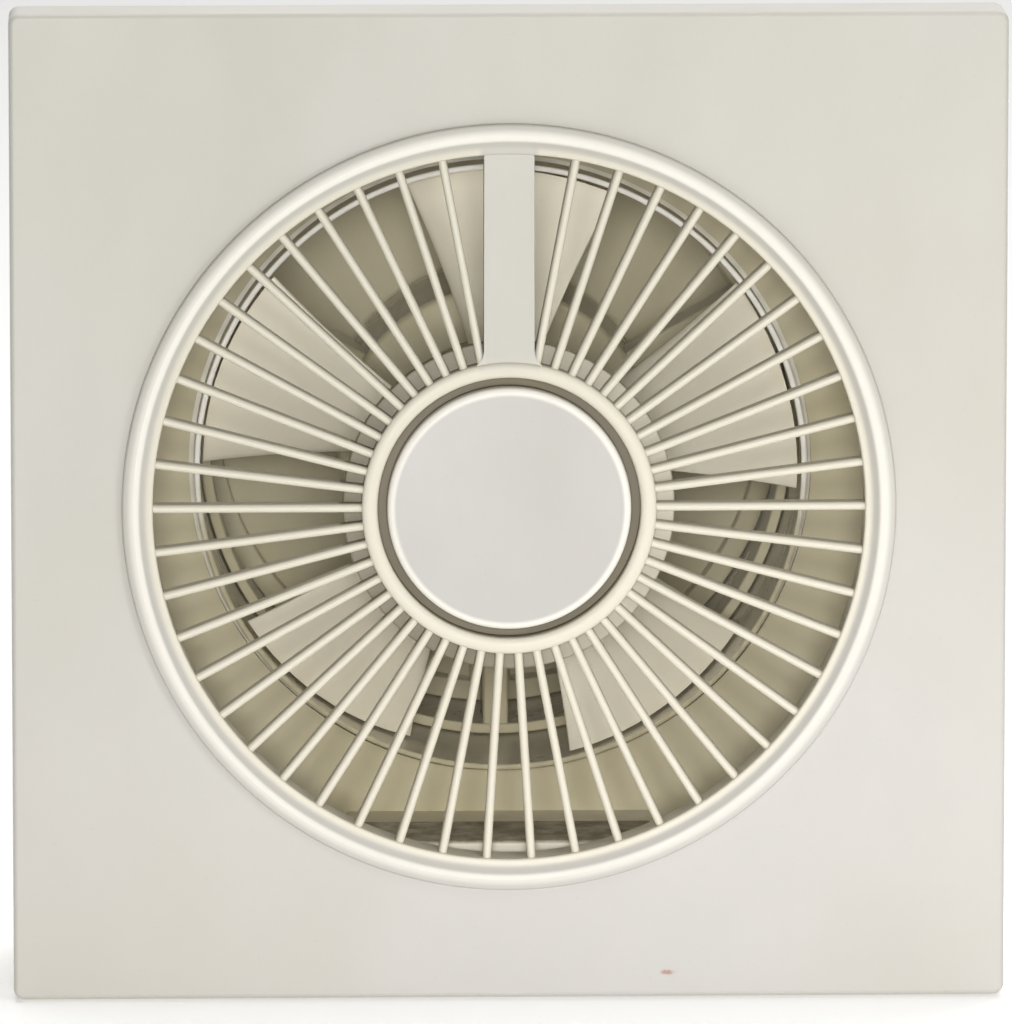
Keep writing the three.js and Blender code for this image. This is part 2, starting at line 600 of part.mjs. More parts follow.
function motorCarrier() {
  const front = CAN_FRONT_Y;
  const innerFront = front + CAN_WALL;
  const bossBack = front + 5.2;
  const seatFront = front + 0.6;
  const shaftHoleR = SHAFT_R + 1;
  const can = turned([
    [shaftHoleR, front],
    [CAN_R - 1, front],
    [CAN_R, front + 1],
    [CAN_R, CAN_BACK_Y],
    [CAN_R - CAN_WALL, CAN_BACK_Y],
    [CAN_R - CAN_WALL, innerFront],
    [BEARING_BOSS_R, innerFront],
    [BEARING_BOSS_R - 0.5, bossBack],
    [BEARING_SEAT_R, bossBack],
    [BEARING_SEAT_R, seatFront],
    [shaftHoleR, seatFront],
  ]);
  const ringInner = CARRIER_RING_R - CARRIER_RING_WALL;
  const ring = tubeY(ringInner, CARRIER_RING_R, STRUT_FRONT_Y - 0.5, STRUT_BACK_Y + 1, LARGE);
  const half = STRUT_WIDTH / 2;
  const strut = block(CAN_R - 0.5, CARRIER_RING_R - 0.5, STRUT_FRONT_Y, STRUT_BACK_Y, -half, half);
  const struts = STRUT_PLACES_DEG.map((angle) => turnY(strut, angle));
  const lugFront = CAN_BACK_Y - LUG_DEPTH;
  const lug = block(CAN_R - 0.8, LUG_REACH, lugFront, CAN_BACK_Y, -LUG_HALF_WIDTH, LUG_HALF_WIDTH);
  const bore = barY(MOTOR_SCREW_SHANK_R + GAP, lugFront + 1, CAN_BACK_Y + 1, MOTOR_SCREW_AT, 0, TINY);
  const slot = LEAD_SLOT_HALF;
  const leadExit = block(-slot, slot, 31.5, 35.5, -CAN_R - 1, -CAN_R + CAN_WALL + 1);
  const whole = union([can, ring, ...struts, lug, mirrorX(lug)]);
  return cut(whole, [bore, mirrorX(bore), leadExit]);
}

function motorRearCover() {
  const front = CAN_BACK_Y + GAP;
  const back = front + REAR_COVER_SKIN;
  const seatFront = REAR_BEARING_Y - GAP;
  const seatBack = REAR_BEARING_Y + BEARING_LENGTH + GAP;
  const disc = turned([
    [BEARING_SEAT_R, seatFront],
    [BEARING_BOSS_R, seatFront],
    [BEARING_BOSS_R, front],
    [CAN_R, front],
    [CAN_R, back],
    [BEARING_BOSS_R + 1.3, back + 0.3],
    [BEARING_BOSS_R + 0.3, REAR_COVER_BACK_Y],
    [0, REAR_COVER_BACK_Y],
    [0, seatBack],
    [BEARING_SEAT_R, seatBack],
  ]);
  const lug = block(CAN_R - 1.5, LUG_REACH, front, back, -LUG_HALF_WIDTH, LUG_HALF_WIDTH);
  const hole = barY(MOTOR_SCREW_SHANK_R + GAP, front - 1, back + 1.5, MOTOR_SCREW_AT, 0, TINY);
  return cut(union([disc, lug, mirrorX(lug)]), [hole, mirrorX(hole)]);
}

function bearing(y) {
  const chamfer = 0.6;
  const back = y + BEARING_LENGTH;
  return turned([
    [ON_SHAFT_R, y],
    [BEARING_R - chamfer, y],
    [BEARING_R, y + chamfer],
    [BEARING_R, back - chamfer],
    [BEARING_R - chamfer, back],
    [ON_SHAFT_R, back],
  ], SMALL);
}

function statorCore() {
  const yoke = tubeY(STATOR_YOKE_R, STATOR_OUTER_R, STACK_FRONT_Y, STACK_BACK_Y);
  const half = STATOR_NECK_HALF;
  const neck = block(STATOR_SHOE_R - 1.4, STATOR_YOKE_R + 0.5, STACK_FRONT_Y, STACK_BACK_Y, -half, half);
  const arc = SHOE_HALF_DEG;
  const shoe = ringSector(STATOR_BORE_R, STATOR_SHOE_R, -arc, arc, STACK_FRONT_Y, STACK_BACK_Y, 10);
  const slot = ringSector(
    STATOR_BORE_R - 1, SHADING_SLOT_OUTER_R, ...SHADING_SLOT_DEG, STACK_FRONT_Y - 1, STACK_BACK_Y + 1, 1,
  );
  const pole = union([neck, shoe]).subtract(slot);
  return union([yoke, pole, turnY(pole, 180)]);
}

// A closed copper turn: one bar lies in the slot, the other past the shoe's end, and two bridges join them.
function shadingRing() {
  const inner = SHADING_RING_INNER_R;
  const outer = SHADING_RING_OUTER_R;
  const [from, to] = SHADING_RING_DEG;
  const bridge = 1;
  const front = STACK_FRONT_Y - GAP - bridge;
  const back = STACK_BACK_Y + GAP + bridge;
  return union([
    ringSector(inner, outer, from, from + SHADING_BAR_DEG, front, back, 1),
    ringSector(inner, outer, to - SHADING_BAR_DEG, to, front, back, 1),
    ringSector(inner, outer, from, to, front, front + bridge, 4),
    ringSector(inner, outer, from, to, back - bridge, back, 4),
  ]);
}

// A rectangular frame round the pole neck: x runs along the neck.
function neckFrame(x0, x1, innerY, innerZ, outerY, outerZ) {
  const middle = STACK_MID_Y;
  const outer = block(x0, x1, middle - outerY, middle + outerY, -outerZ, outerZ);
  const inner = block(x0 - 1, x1 + 1, middle - innerY, middle + innerY, -innerZ, innerZ);
  return outer.subtract(inner);
}

function bobbin() {
  const [near, far, skin] = [BOBBIN_INNER_X, BOBBIN_OUTER_X, BOBBIN_SKIN];
  const innerY = (STACK_BACK_Y - STACK_FRONT_Y) / 2 + GAP;
  const innerZ = STATOR_NECK_HALF + GAP;
  const flange = [innerY, innerZ, BOBBIN_FLANGE_HALF_Y, BOBBIN_FLANGE_HALF_Z];
  return union([
    neckFrame(near, far, innerY, innerZ, innerY + skin, innerZ + skin),
    neckFrame(near, near + skin, ...flange),
    neckFrame(far - skin, far, ...flange),
  ]);
}

function coil() {
  const clear = BOBBIN_SKIN + 0.25;
  const innerY = (STACK_BACK_Y - STACK_FRONT_Y) / 2 + GAP + clear;
  const innerZ = STATOR_NECK_HALF + GAP + clear;
  const outerY = BOBBIN_FLANGE_HALF_Y - 0.4;
  const outerZ = BOBBIN_FLANGE_HALF_Z - 0.3;
  return neckFrame(BOBBIN_INNER_X + clear, BOBBIN_OUTER_X - clear, innerY, innerZ, outerY, outerZ);
}

function motorScrew() {
  const x = MOTOR_SCREW_AT;
  const headFront = CAN_BACK_Y + GAP + REAR_COVER_SKIN + GAP;
  const head = barY(MOTOR_SCREW_HEAD_R, headFront, headFront + MOTOR_SCREW_HEAD_HIGH, x, 0);
  const shank = barY(MOTOR_SCREW_SHANK_R, CAN_BACK_Y - LUG_DEPTH + 1.5, headFront + 0.5, x, 0, TINY);
  const slot = block(x - 3, x + 3, headFront + 1, headFront + 3, -0.4, 0.4);
  return union([head, shank]).subtract(slot);
}

// ---------------------------------------------------------------- shutter

function shutterFrame() {
  const outer = DUCT_R - GAP;
  const ledgeBack = SHUTTER_PIN_Y - FLAP_THICK / 2 - GAP;
  const barBack = SHUTTER_FRONT_Y + SHUTTER_BAR_THICK;
  const ring = turned([
    [SHUTTER_STOP_R, SHUTTER_FRONT_Y],
    [outer, SHUTTER_FRONT_Y],
    [outer, SHUTTER_BACK_Y],
    [SHUTTER_RING_INNER_R, SHUTTER_BACK_Y],
    [SHUTTER_RING_INNER_R, ledgeBack],
    [SHUTTER_STOP_R, ledgeBack],
  ], LARGE);
  const bar = block(-SHUTTER_BAR_HALF, SHUTTER_BAR_HALF, SHUTTER_FRONT_Y, barBack, -44, 44);
  const lug = block(-2.3, 2.3, barBack - 0.3, SHUTTER_PIN_Y + 2, -1.6, 1.6);
  const pinHole = barZ(SHUTTER_PIN_R + GAP, -outer - 1, outer + 1, 0, SHUTTER_PIN_Y);
  return union([ring, bar, lug]).subtract(pinHole);
}

function shutterPin() {
  return barZ(SHUTTER_PIN_R, -SHUTTER_PIN_HALF, SHUTTER_PIN_HALF, 0, SHUTTER_PIN_Y);
}

// The flap on the +X side. Its knuckles lie between the given heights.
function shutterFlap(knuckles) {
  const front = SHUTTER_PIN_Y - FLAP_THICK / 2;
  const back = SHUTTER_PIN_Y + FLAP_THICK / 2;
  const reach = Math.sqrt(FLAP_R * FLAP_R - FLAP_EDGE_X * FLAP_EDGE_X);
  const start = Math.atan2(reach, FLAP_EDGE_X);
  const shape = new THREE.Shape();
  shape.moveTo(FLAP_EDGE_X, -reach);
  shape.absarc(0, 0, FLAP_R, -start, start, false);
  const plate = prism(shape, front, back, 24);
  const barrels = knuckles.map(([low, high]) => union([
    barZ(KNUCKLE_R, low, high, 0, SHUTTER_PIN_Y),
    block(0, FLAP_EDGE_X + 0.5, front, back, low, high),
  ]));
  const bore = barZ(SHUTTER_PIN_R + GAP, -FLAP_R, FLAP_R, 0, SHUTTER_PIN_Y);
  const stiffeners = STIFFENER_PLACES_Z.map((z) => block(
    STIFFENER_START_X, STIFFENER_END_X, back - 0.2, back + STIFFENER_HIGH, z - 0.5, z + 0.5,
  ));
  return union([plate, ...barrels, ...stiffeners]).subtract(bore);
}

// A closed-ended coil round the pin, counted up from its low end.
function shutterSpring(low, side) {
  const perTurn = 8;
  const points = [];
  for (let step = 0; step <= SPRING_TURNS * perTurn; step += 1) {
    const angle = side * (Math.PI / 2 - 2 * Math.PI * step / perTurn);
    const y = SHUTTER_PIN_Y - SPRING_R * Math.cos(angle);
    points.push([SPRING_R * Math.sin(angle), y, low + SPRING_PITCH * step / perTurn]);
  }
  return wire(points, SPRING_WIRE_R, SPRING_TURNS * 9, 5);
}

// ---------------------------------------------------------------- wiring compartment

function terminalCover() {
  const half = TERMINAL_COVER_HALF_WIDTH;
  const wall = TERMINAL_COVER_WALL;
  const top = TERMINAL_COVER_TOP_Z;
  const bottom = TERMINAL_COVER_BOTTOM_Z;
  const front = TERMINAL_COVER_FRONT_Y;
  const back = PLATFORM_FRONT_Y - GAP;
  const outer = block(-half, half, front, back, bottom, top);
  const inside = block(-half + wall, half - wall, front + wall, back + 1, bottom - 1, top - wall);
  const hole = barY(1.7, front - 1, front + wall + 1, COVER_POST_X, COVER_POST_Z, TINY);
  return cut(outer, [inside, hole]);
}

// A slotted screw whose head looks into the room. Its head's rear face is at seatY.
function roomScrew(headR, headHigh, shankR, seatY, endY, x, z, slotHalf, slotDeep, headSegments) {
  const front = seatY - headHigh;
  const head = barY(headR, front, seatY, x, z, headSegments);
  const shank = barY(shankR, seatY - 0.5, endY, x, z, TINY);
  const reach = headR + 0.3;
  const slot = block(x - reach, x + reach, front - 0.7, front + slotDeep, z - slotHalf, z + slotHalf);
  return union([head, shank]).subtract(slot);
}

function terminalCoverScrew() {
  return roomScrew(
    COVER_SCREW_HEAD_R, COVER_SCREW_HEAD_HIGH, COVER_SCREW_SHANK_R, TERMINAL_COVER_FRONT_Y - GAP,
    COVER_SCREW_END_Y, COVER_POST_X, COVER_POST_Z, 0.4, 0.6, SMALL,
  );
}

function terminalBlock() {
  const front = TERMINAL_BLOCK_FRONT_Y;
  const back = PLATFORM_FRONT_Y - GAP;
  const low = TERMINAL_BOTTOM_Z;
  const high = TERMINAL_TOP_Z;
  const body = block(TERMINAL_BLOCK_LEFT_X, TERMINAL_BLOCK_RIGHT_X, front, back, low, high);
  const tools = [];
  for (const x of TERMINAL_PLACES_X) {
    tools.push(barZ(TERMINAL_BORE_R, low - 1, high + 1, x, TERMINAL_BORE_Y));
    for (const z of TERMINAL_SCREW_PLACES_Z) {
      tools.push(barY(TERMINAL_SCREW_R + GAP, front - 1, TERMINAL_BORE_Y, x, z, TINY));
    }
  }
  const half = 0.5;
  for (const x of TERMINAL_GROOVE_PLACES_X) {
    tools.push(block(x - half, x + half, front - 1, front + 2, low - 1, high + 1));
  }
  return cut(body, tools);
}

function terminalInsert(x) {
  const low = TERMINAL_BOTTOM_Z + 0.7;
  const high = TERMINAL_TOP_Z - 0.7;
  const bore = barZ(INSERT_INNER_R, low - 1, high + 1, x, TERMINAL_BORE_Y);
  return barZ(INSERT_OUTER_R, low, high, x, TERMINAL_BORE_Y).subtract(bore);
}

function terminalScrew(x, z) {
  const front = TERMINAL_SCREW_FRONT_Y;
  const back = TERMINAL_BORE_Y - INSERT_OUTER_R - GAP;
  const slot = block(x - 2, x + 2, front - 1, front + 0.7, z - 0.25, z + 0.25);
  return barY(TERMINAL_SCREW_R, front, back, x, z, TINY).subtract(slot);
}

function cordClamp() {
  const left = CLAMP_X - CLAMP_HALF_WIDTH;
  const right = CLAMP_X + CLAMP_HALF_WIDTH;
  const [low, high] = CLAMP_POST_PLACES_Z;
  const bar = block(left, right, CLAMP_FRONT_Y, CLAMP_BACK_Y, low - 2, high + 1.7);
  const hole = (z) => barY(1.3, CLAMP_FRONT_Y - 1, CLAMP_BACK_Y + 1, CLAMP_X, z, TINY);
  const grip = barX(0.5, left, right, CLAMP_BACK_Y, (low + high) / 2);
  return cut(bar.add(grip), CLAMP_POST_PLACES_Z.map(hole));
}

function cordClampScrew(z) {
  return roomScrew(
    CLAMP_SCREW_HEAD_R, CLAMP_SCREW_HEAD_HIGH, CLAMP_SCREW_SHANK_R, CLAMP_FRONT_Y - GAP,
    PLATFORM_FRONT_Y, CLAMP_X, z, 0.25, 0.6, TINY,
  );
}

function cableGrommet() {
  const front = PLATFORM_FRONT_Y;
  const back = PLATFORM_FRONT_Y + PLATFORM_SKIN;
  const lip = GROMMET_LIP_R;
  const chamfer = 0.4;
  const profile = [
    [GROMMET_BORE_R, front - 1.7],
    [lip - chamfer, front - 1.7],
    [lip, front - 1.3],
    [lip, front - GAP],
    [GROMMET_NECK_R, front - GAP],
    [GROMMET_NECK_R, back + GAP],
    [lip, back + GAP],
    [lip - chamfer, back + 1.5],
    [GROMMET_BORE_R, back + 1.5],
  ];
  return turned(profile, SMALL).translate([GROMMET_X, 0, GROMMET_Z]);
}

// A lead runs from the motor can down behind the lower strut, out through the spigot wall,
// forwards along the spigot, through the gutter behind the floor and up to its terminal.
function motorLead(side, terminalX) {
  const x = side * LEAD_APART / 2;
  const run = terminalX - x;
  const outsideZ = -SPIGOT_OUTER_R - 1.3;
  const gutterY = LEAD_GUTTER_Y;
  const holeZ = LEAD_HOLE_Z;
  const route = [
    [x, 33.5, -23.6],
    [x, 33.5, -30],
    [x, 33.5, -38],
    [x, 33.5, -45],
    [x, 33, -48.2],
    [x, 31, outsideZ - 0.2],
    [x, 26, outsideZ],
    [x, 16, outsideZ],
    [x, 6, outsideZ],
    [x, 1.6, outsideZ - 0.2],
    [x, gutterY, -52.3],
    [x, gutterY, -56.9],
    [x, -2.7, holeZ - 1.3],
    [x + run * 0.15, -5, holeZ - 0.5],
    [x + run * 0.88, -12.5, holeZ - 0.3],
    [terminalX, -16.6, holeZ],
    [terminalX, -19.2, holeZ],
    [terminalX, -21.6, holeZ],
    [terminalX, -23.6, holeZ - 0.4],
    [terminalX, TERMINAL_BORE_Y, holeZ - 1.9],
    [terminalX, TERMINAL_BORE_Y, TERMINAL_TOP_Z - 3],
  ];
  return wire(route, LEAD_R, 38);
}

// ---------------------------------------------------------------- assembly

const fan = new THREE.Group();

function addPart(name, solid, look) {
  const { vertProperties, triVerts } = solid.getMesh();
  const geometry = new THREE.BufferGeometry();
  geometry.setAttribute('position', new THREE.BufferAttribute(Float32Array.from(vertProperties), 3));
  geometry.setIndex(new THREE.BufferAttribute(Uint32Array.from(triVerts), 1));
  geometry.computeVertexNormals();
  const mesh = new THREE.Mesh(geometry, new THREE.MeshStandardMaterial(look));
  mesh.name = name;
  fan.add(mesh);
}

addPart('front_cover', frontCover(), whitePlastic);
addPart('centre_cap', centreCap(), whitePlastic);
addPart('housing', housing(), dullPlastic);

addPart('impeller', impeller(), paleGreyPlastic);
addPart('impeller_clip', impellerClip(), brightSteel);
addPart('shaft', barY(SHAFT_R, SHAFT_FRONT_Y, SHAFT_BACK_Y), brightSteel);
addPart('rotor_core', tubeY(ON_SHAFT_R, ROTOR_R, STACK_FRONT_Y, STACK_BACK_Y), laminatedSteel);
const endRing = (y) => tubeY(END_RING_INNER_R, END_RING_OUTER_R, y, y + END_RING_LENGTH);
addPart('rotor_end_ring_front', endRing(STACK_FRONT_Y - GAP - END_RING_LENGTH), castAluminium);
addPart('rotor_end_ring_rear', endRing(STACK_BACK_Y + GAP), castAluminium);
const thrustWasher = (y) => tubeY(ON_SHAFT_R, WASHER_R, y, y + WASHER_THICK, SMALL);
addPart('thrust_washer_front', thrustWasher(FRONT_WASHER_Y), blackNylon);
addPart('thrust_washer_rear', thrustWasher(REAR_WASHER_Y), blackNylon);

addPart('motor_carrier', motorCarrier(), dullPlastic);
addPart('motor_rear_cover', motorRearCover(), dullPlastic);
addPart('bearing_front', bearing(FRONT_BEARING_Y), bronze);
addPart('bearing_rear', bearing(REAR_BEARING_Y), bronze);
addPart('stator_core', statorCore(), laminatedSteel);
addPart('bobbin_right', bobbin(), blackNylon);
addPart('bobbin_left', mirrorX(bobbin()), blackNylon);
addPart('coil_right', coil(), copper);
addPart('coil_left', mirrorX(coil()), copper);
addPart('shading_ring_right', shadingRing(), copper);
addPart('shading_ring_left', turnY(shadingRing(), 180), copper);
addPart('motor_screw_right', motorScrew(), brightSteel);
addPart('motor_screw_left', mirrorX(motorScrew()), brightSteel);

addPart('shutter_frame', shutterFrame(), dullPlastic);
addPart('shutter_pin', shutterPin(), brightSteel);
addPart('shutter_flap_right', shutterFlap([[4, 16], [-32, -20]]), dullPlastic);
addPart('shutter_flap_left', mirrorX(shutterFlap([[20, 32], [-16, -4]])), dullPlastic);
addPart('shutter_spring_upper', shutterSpring(35, 1), brightSteel);
addPart('shutter_spring_lower', shutterSpring(-40, -1), brightSteel);

addPart('terminal_cover', terminalCover(), whitePlastic);
addPart('terminal_cover_screw', terminalCoverScrew(), brightSteel);
addPart('terminal_block', terminalBlock(), creamPlastic);
const terminalNames = ['live', 'neutral', 'switched'];
terminalNames.forEach((name, place) => {
  const x = TERMINAL_PLACES_X[place];
  addPart(`terminal_insert_${name}`, terminalInsert(x), brass);
  addPart(`terminal_screw_${name}_lower`, terminalScrew(x, TERMINAL_SCREW_PLACES_Z[0]), brightSteel);
  addPart(`terminal_screw_${name}_upper`, terminalScrew(x, TERMINAL_SCREW_PLACES_Z[1]), brightSteel);
});
addPart('cord_clamp', cordClamp(), blackNylon);
addPart('cord_clamp_screw_lower', cordClampScrew(CLAMP_POST_PLACES_Z[0]), brightSteel);
addPart('cord_clamp_screw_upper', cordClampScrew(CLAMP_POST_PLACES_Z[1]), brightSteel);
addPart('cable_grommet', cableGrommet(), blackRubber);
addPart('motor_lead_live', motorLead(-1, TERMINAL_PLACES_X[0]), brownSleeve);
addPart('motor_lead_neutral', motorLead(1, TERMINAL_PLACES_X[1]), blueSleeve);

export default fan;
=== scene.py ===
"""The looks of the bathroom extractor fan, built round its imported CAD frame.

Shapes are drawn in millimetres and become metres where an object is made.
The fan turns about the Y axis. The wall is the plane y = 0, the room is towards -Y, and +Z is up.
"""

from math import acos, atan2, cos, pi, radians, sin, sqrt, tan

import bmesh
import bpy
import numpy as np
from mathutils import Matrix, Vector


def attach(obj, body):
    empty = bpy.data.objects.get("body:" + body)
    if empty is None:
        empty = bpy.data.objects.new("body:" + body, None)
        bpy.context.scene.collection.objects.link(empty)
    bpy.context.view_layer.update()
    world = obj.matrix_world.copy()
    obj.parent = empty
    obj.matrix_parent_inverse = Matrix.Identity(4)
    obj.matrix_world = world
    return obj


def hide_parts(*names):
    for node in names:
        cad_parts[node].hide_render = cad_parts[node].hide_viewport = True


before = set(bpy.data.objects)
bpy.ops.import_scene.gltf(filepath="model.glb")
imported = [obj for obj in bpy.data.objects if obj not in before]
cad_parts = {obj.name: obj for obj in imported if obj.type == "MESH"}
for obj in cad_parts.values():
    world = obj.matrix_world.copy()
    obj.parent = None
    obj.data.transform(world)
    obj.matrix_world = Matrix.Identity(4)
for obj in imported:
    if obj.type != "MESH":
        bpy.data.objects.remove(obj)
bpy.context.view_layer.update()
MM = 0.001

# ---- dimensions

GAP = 0.3       # air left between a piece and its neighbour

PLATE_HALF = 76.0
PLATE_FRONT_Y = -48.0
PLATE_SKIN = 2.2
PLATE_BACK_Y = PLATE_FRONT_Y + PLATE_SKIN
PLATE_EDGE_ROUND = 0.8
PLATE_CORNER_R = 1.6
SKIRT_BACK_Y = -36.0
SKIRT_WALL = 2.0
TONGUE_END_Y = -31.0

OPENING_R = 54.4
RIM_OUTER_R = 59.2
RIM_CREST_R = 57.2
RIM_HEIGHT = 1.7
RIM_LIP_HEIGHT = 0.5
RIM_COLLAR_R = 56.0
RIM_COLLAR_Y = PLATE_BACK_Y + 4.0

MARK_AT = (24.3, -72.2)     # x and z of the brown mark

RIB_PITCH_DEG = 7.2
RIB_PLACES = 50
RIB_WIDTH = 1.3
RIB_FRONT_Y = -47.9
RIB_BACK_Y = -44.8
SPOKE_HALF_WIDTH = 3.85
HUB_RING_OUTER_R = 22.5
HUB_RING_INNER_R = 20.1
HUB_RING_CREST = 0.9
HUB_DISC_R = 25.4
HUB_DISC_FRONT_Y = -45.0
HUB_DISC_BACK_Y = -43.2
CAP_R = 18.7
CAP_CREST = 1.5
CAP_STEM_R = 2.5

TRAY_HALF = 71.0
TRAY_WALL = 2.0
TRAY_FRONT_Y = PLATE_BACK_Y + GAP
TRAY_CORNER_R = 3.0
FLOOR_FRONT_Y = -2.5

DUCT_R = 46.9
SPIGOT_OUTER_R = 48.4
SPIGOT_END_Y = 62.0
COLLAR_FRONT_Y = -7.0
COLLAR_WALL = 0.9
GROOVE_WIDTH = 0.8
GROOVE_DEPTH = 1.6

FIXING_AT = 57.0
FIXING_HEAD_R = 4.5
FIXING_SLOT_R = 2.3
FIXING_SLOT_RUN = 6.0

IMPELLER_TIP_R = 46.3
IMPELLER_HUB_R = 18.5
IMPELLER_FRONT_Y = -8.5
IMPELLER_BACK_Y = 8.0
BLADE_COUNT = 5
BLADE_FIRST_DEG = 16.0
BLADE_MID_Y = -0.8
BLADE_PITCH_DEPTH = 9.5
BLADE_CAMBER = 1.2
BLADE_THICK = 1.4
BLADE_ROOT_HALF_DEG = 16.5
BLADE_TIP_HALF_DEG = 20.5

CAN_R = 25.0
CAN_WALL = 1.6
CAN_FRONT_Y = 17.8
CAN_BACK_Y = 46.0
BEARING_SEAT_R = 5.3
BEARING_BOSS_R = 7.2
REAR_COVER_SKIN = 1.5
STRUT_PLACES_DEG = (30, 150, 270)
STRUT_HALF_WIDTH = 2.0
STRUT_FRONT_Y = 20.0
STRUT_BACK_Y = 29.0
CARRIER_RING_R = DUCT_R - GAP
LUG_REACH = 31.0
LUG_HALF_WIDTH = 4.0
MOTOR_SCREW_AT = 27.8
MOTOR_SCREW_BORE_R = 1.7

SHUTTER_FRONT_Y = 51.0
SHUTTER_BACK_Y = 60.0
SHUTTER_PIN_Y = 56.5
SHUTTER_PIN_R = 1.2
SHUTTER_PIN_HALF = 46.2
KNUCKLE_R = 2.7
FLAP_R = 44.5
FLAP_EDGE_X = 3.0
FLAP_HALF_THICK = 0.5

PLATFORM_FRONT_Y = -20.0
PLATFORM_HALF_WIDTH = 24.0
PLATFORM_TOP_Z = -55.0
PLATFORM_SKIN = 1.6
TERMINAL_COVER_FRONT_Y = -38.0
TERMINAL_COVER_WALL = 1.6
TERMINAL_PLACES_X = (-16.5, -10.0, -3.5)
TERMINAL_SCREW_PLACES_Z = (-65.6, -61.6)
TERMINAL_SCREW_R = 1.2
TERMINAL_BORE_Y = -24.3
POST_R = 1.9
COVER_POST = (3.2, -62.0)
COVER_SCREW_END_Y = -30.0
CLAMP_X = 9.0
CLAMP_FRONT_Y = PLATFORM_FRONT_Y - 6.3
CLAMP_BACK_Y = PLATFORM_FRONT_Y - 3.8
CLAMP_POST_PLACES_Z = (-66.4, -57.3)
GROMMET = (15.6, -61.8)
GROMMET_NECK_R = 4.0
MOTOR_SCREW = (2.8, 1.8, 1.4, 0.4, 0.8)     # radius and height of the head, shank, half slot, slot depth
COVER_SCREW = (2.8, 1.4, 1.2, 0.4, 0.6)
CLAMP_SCREW = (1.7, 1.3, 0.9, 0.25, 0.6)
LEAD_R = 0.75
LEAD_SLOT_HALF = 2.6
LEAD_HOLE_Z = -57.3

FINE = 192      # segments in the large circles that show
ROUND = 64      # segments in middling circles
SMALL = 32      # segments in screws and posts


def added(name, data):
    obj = bpy.data.objects.new(name, data)
    bpy.context.scene.collection.objects.link(obj)
    return obj


# ---- shapes: (points, faces) in millimetres

def outward(points, faces):
    """The same closed shape with its faces turned to look outwards."""
    points = np.asarray(points, float)
    volume = 0.0
    for face in faces:
        a = points[face[0]]
        for b, c in zip(face[1:-1], face[2:]):
            volume += a.dot(np.cross(points[b], points[c]))
    if volume < 0:
        faces = [tuple(reversed(face)) for face in faces]
    return points, [tuple(int(i) for i in face) for face in faces]


def moved(shape, x, z):
    return shape[0] + np.array((x, 0, z)), shape[1]


def turned_by(shape, angle_deg):
    """Turned about the fan axis, anticlockwise as seen from the room."""
    c, s = cos(radians(angle_deg)), sin(radians(angle_deg))
    p = shape[0]
    return np.column_stack((p[:, 0] * c - p[:, 2] * s, p[:, 1], p[:, 0] * s + p[:, 2] * c)), shape[1]


def mirrored(shape):
    return shape[0] * np.array((-1, 1, 1)), [tuple(reversed(face)) for face in shape[1]]


def together(shapes):
    """Several separate shapes as one."""
    points, faces = [], []
    for p, f in shapes:
        start = sum(len(q) for q in points)
        points.append(p)
        faces += [tuple(i + start for i in face) for face in f]
    return np.vstack(points), faces


def rounded(corners, steps=5):
    """A closed outline from (u, v, radius) corners, each with its corner rounded to that radius."""
    outline = []
    for i, (u, v, radius) in enumerate(corners):
        here = np.array((u, v), float)
        if radius <= 0:
            outline.append((u, v))
            continue
        before = np.array(corners[i - 1][:2], float) - here
        after = np.array(corners[(i + 1) % len(corners)][:2], float) - here
        room = 0.49 * min(np.linalg.norm(before), np.linalg.norm(after))
        before /= np.linalg.norm(before)
        after /= np.linalg.norm(after)
        half = acos(max(-1.0, min(1.0, before.dot(after)))) / 2
        reach = min(radius / tan(half), room)
        radius = reach * tan(half)
        centre = here + (before + after) / np.linalg.norm(before + after) * radius / sin(half)
        start, end = here + before * reach - centre, here + after * reach - centre
        a0, a1 = atan2(start[1], start[0]), atan2(end[1], end[0])
        sweep = (a1 - a0 + pi) % (2 * pi) - pi
        for step in range(steps + 1):
            a = a0 + sweep * step / steps
            outline.append((centre[0] + radius * cos(a), centre[1] + radius * sin(a)))
    return outline


def turned(profile, segments=FINE):
    """A solid of revolution about Y from a closed outline of (radius, y) points."""
    points, rings = [], []
    for radius, y in profile:
        count = 1 if radius < 1e-6 else segments
        rings.append(list(range(len(points), len(points) + count)))
        for k in range(count):
            a = 2 * pi * k / segments
            points.append((radius * cos(a), y, radius * sin(a)))
    faces = []
    for low, high in zip(rings, rings[1:] + rings[:1]):
        if len(low) == 1 and len(high) == 1:
            continue
        for k in range(segments):
            n = (k + 1) % segments
            if len(low) == 1:
                faces.append((low[0], high[n], high[k]))
            elif len(high) == 1:
                faces.append((low[k], low[n], high[0]))
            else:
                faces.append((low[k], low[n], high[n], high[k]))
    return outward(points, faces)


def tube_y(inner, outer, y0, y1, segments=FINE, edge=0.0):
    corners = [(inner, y0, edge), (outer, y0, edge), (outer, y1, edge), (inner, y1, edge)]
    return turned(rounded(corners, 3), segments)


def bar_y(radius, y0, y1, x=0.0, z=0.0, segments=SMALL, edge=0.0):
    corners = [(0, y0, 0), (radius, y0, edge), (radius, y1, edge), (0, y1, 0)]
    return moved(turned(rounded(corners, 3), segments), x, z)


def bar_z(radius, z0, z1, x, y, segments=SMALL, edge=0.0):
    points, faces = bar_y(radius, z0, z1, 0, 0, segments, edge)
    return outward(np.column_stack((points[:, 0] + x, points[:, 2] + y, points[:, 1])), faces)


def bar_x(radius, x0, x1, y, z, segments=SMALL, edge=0.0):
    points, faces = bar_y(radius, x0, x1, 0, 0, segments, edge)
    return outward(np.column_stack((points[:, 1], points[:, 0] + y, points[:, 2] + z)), faces)


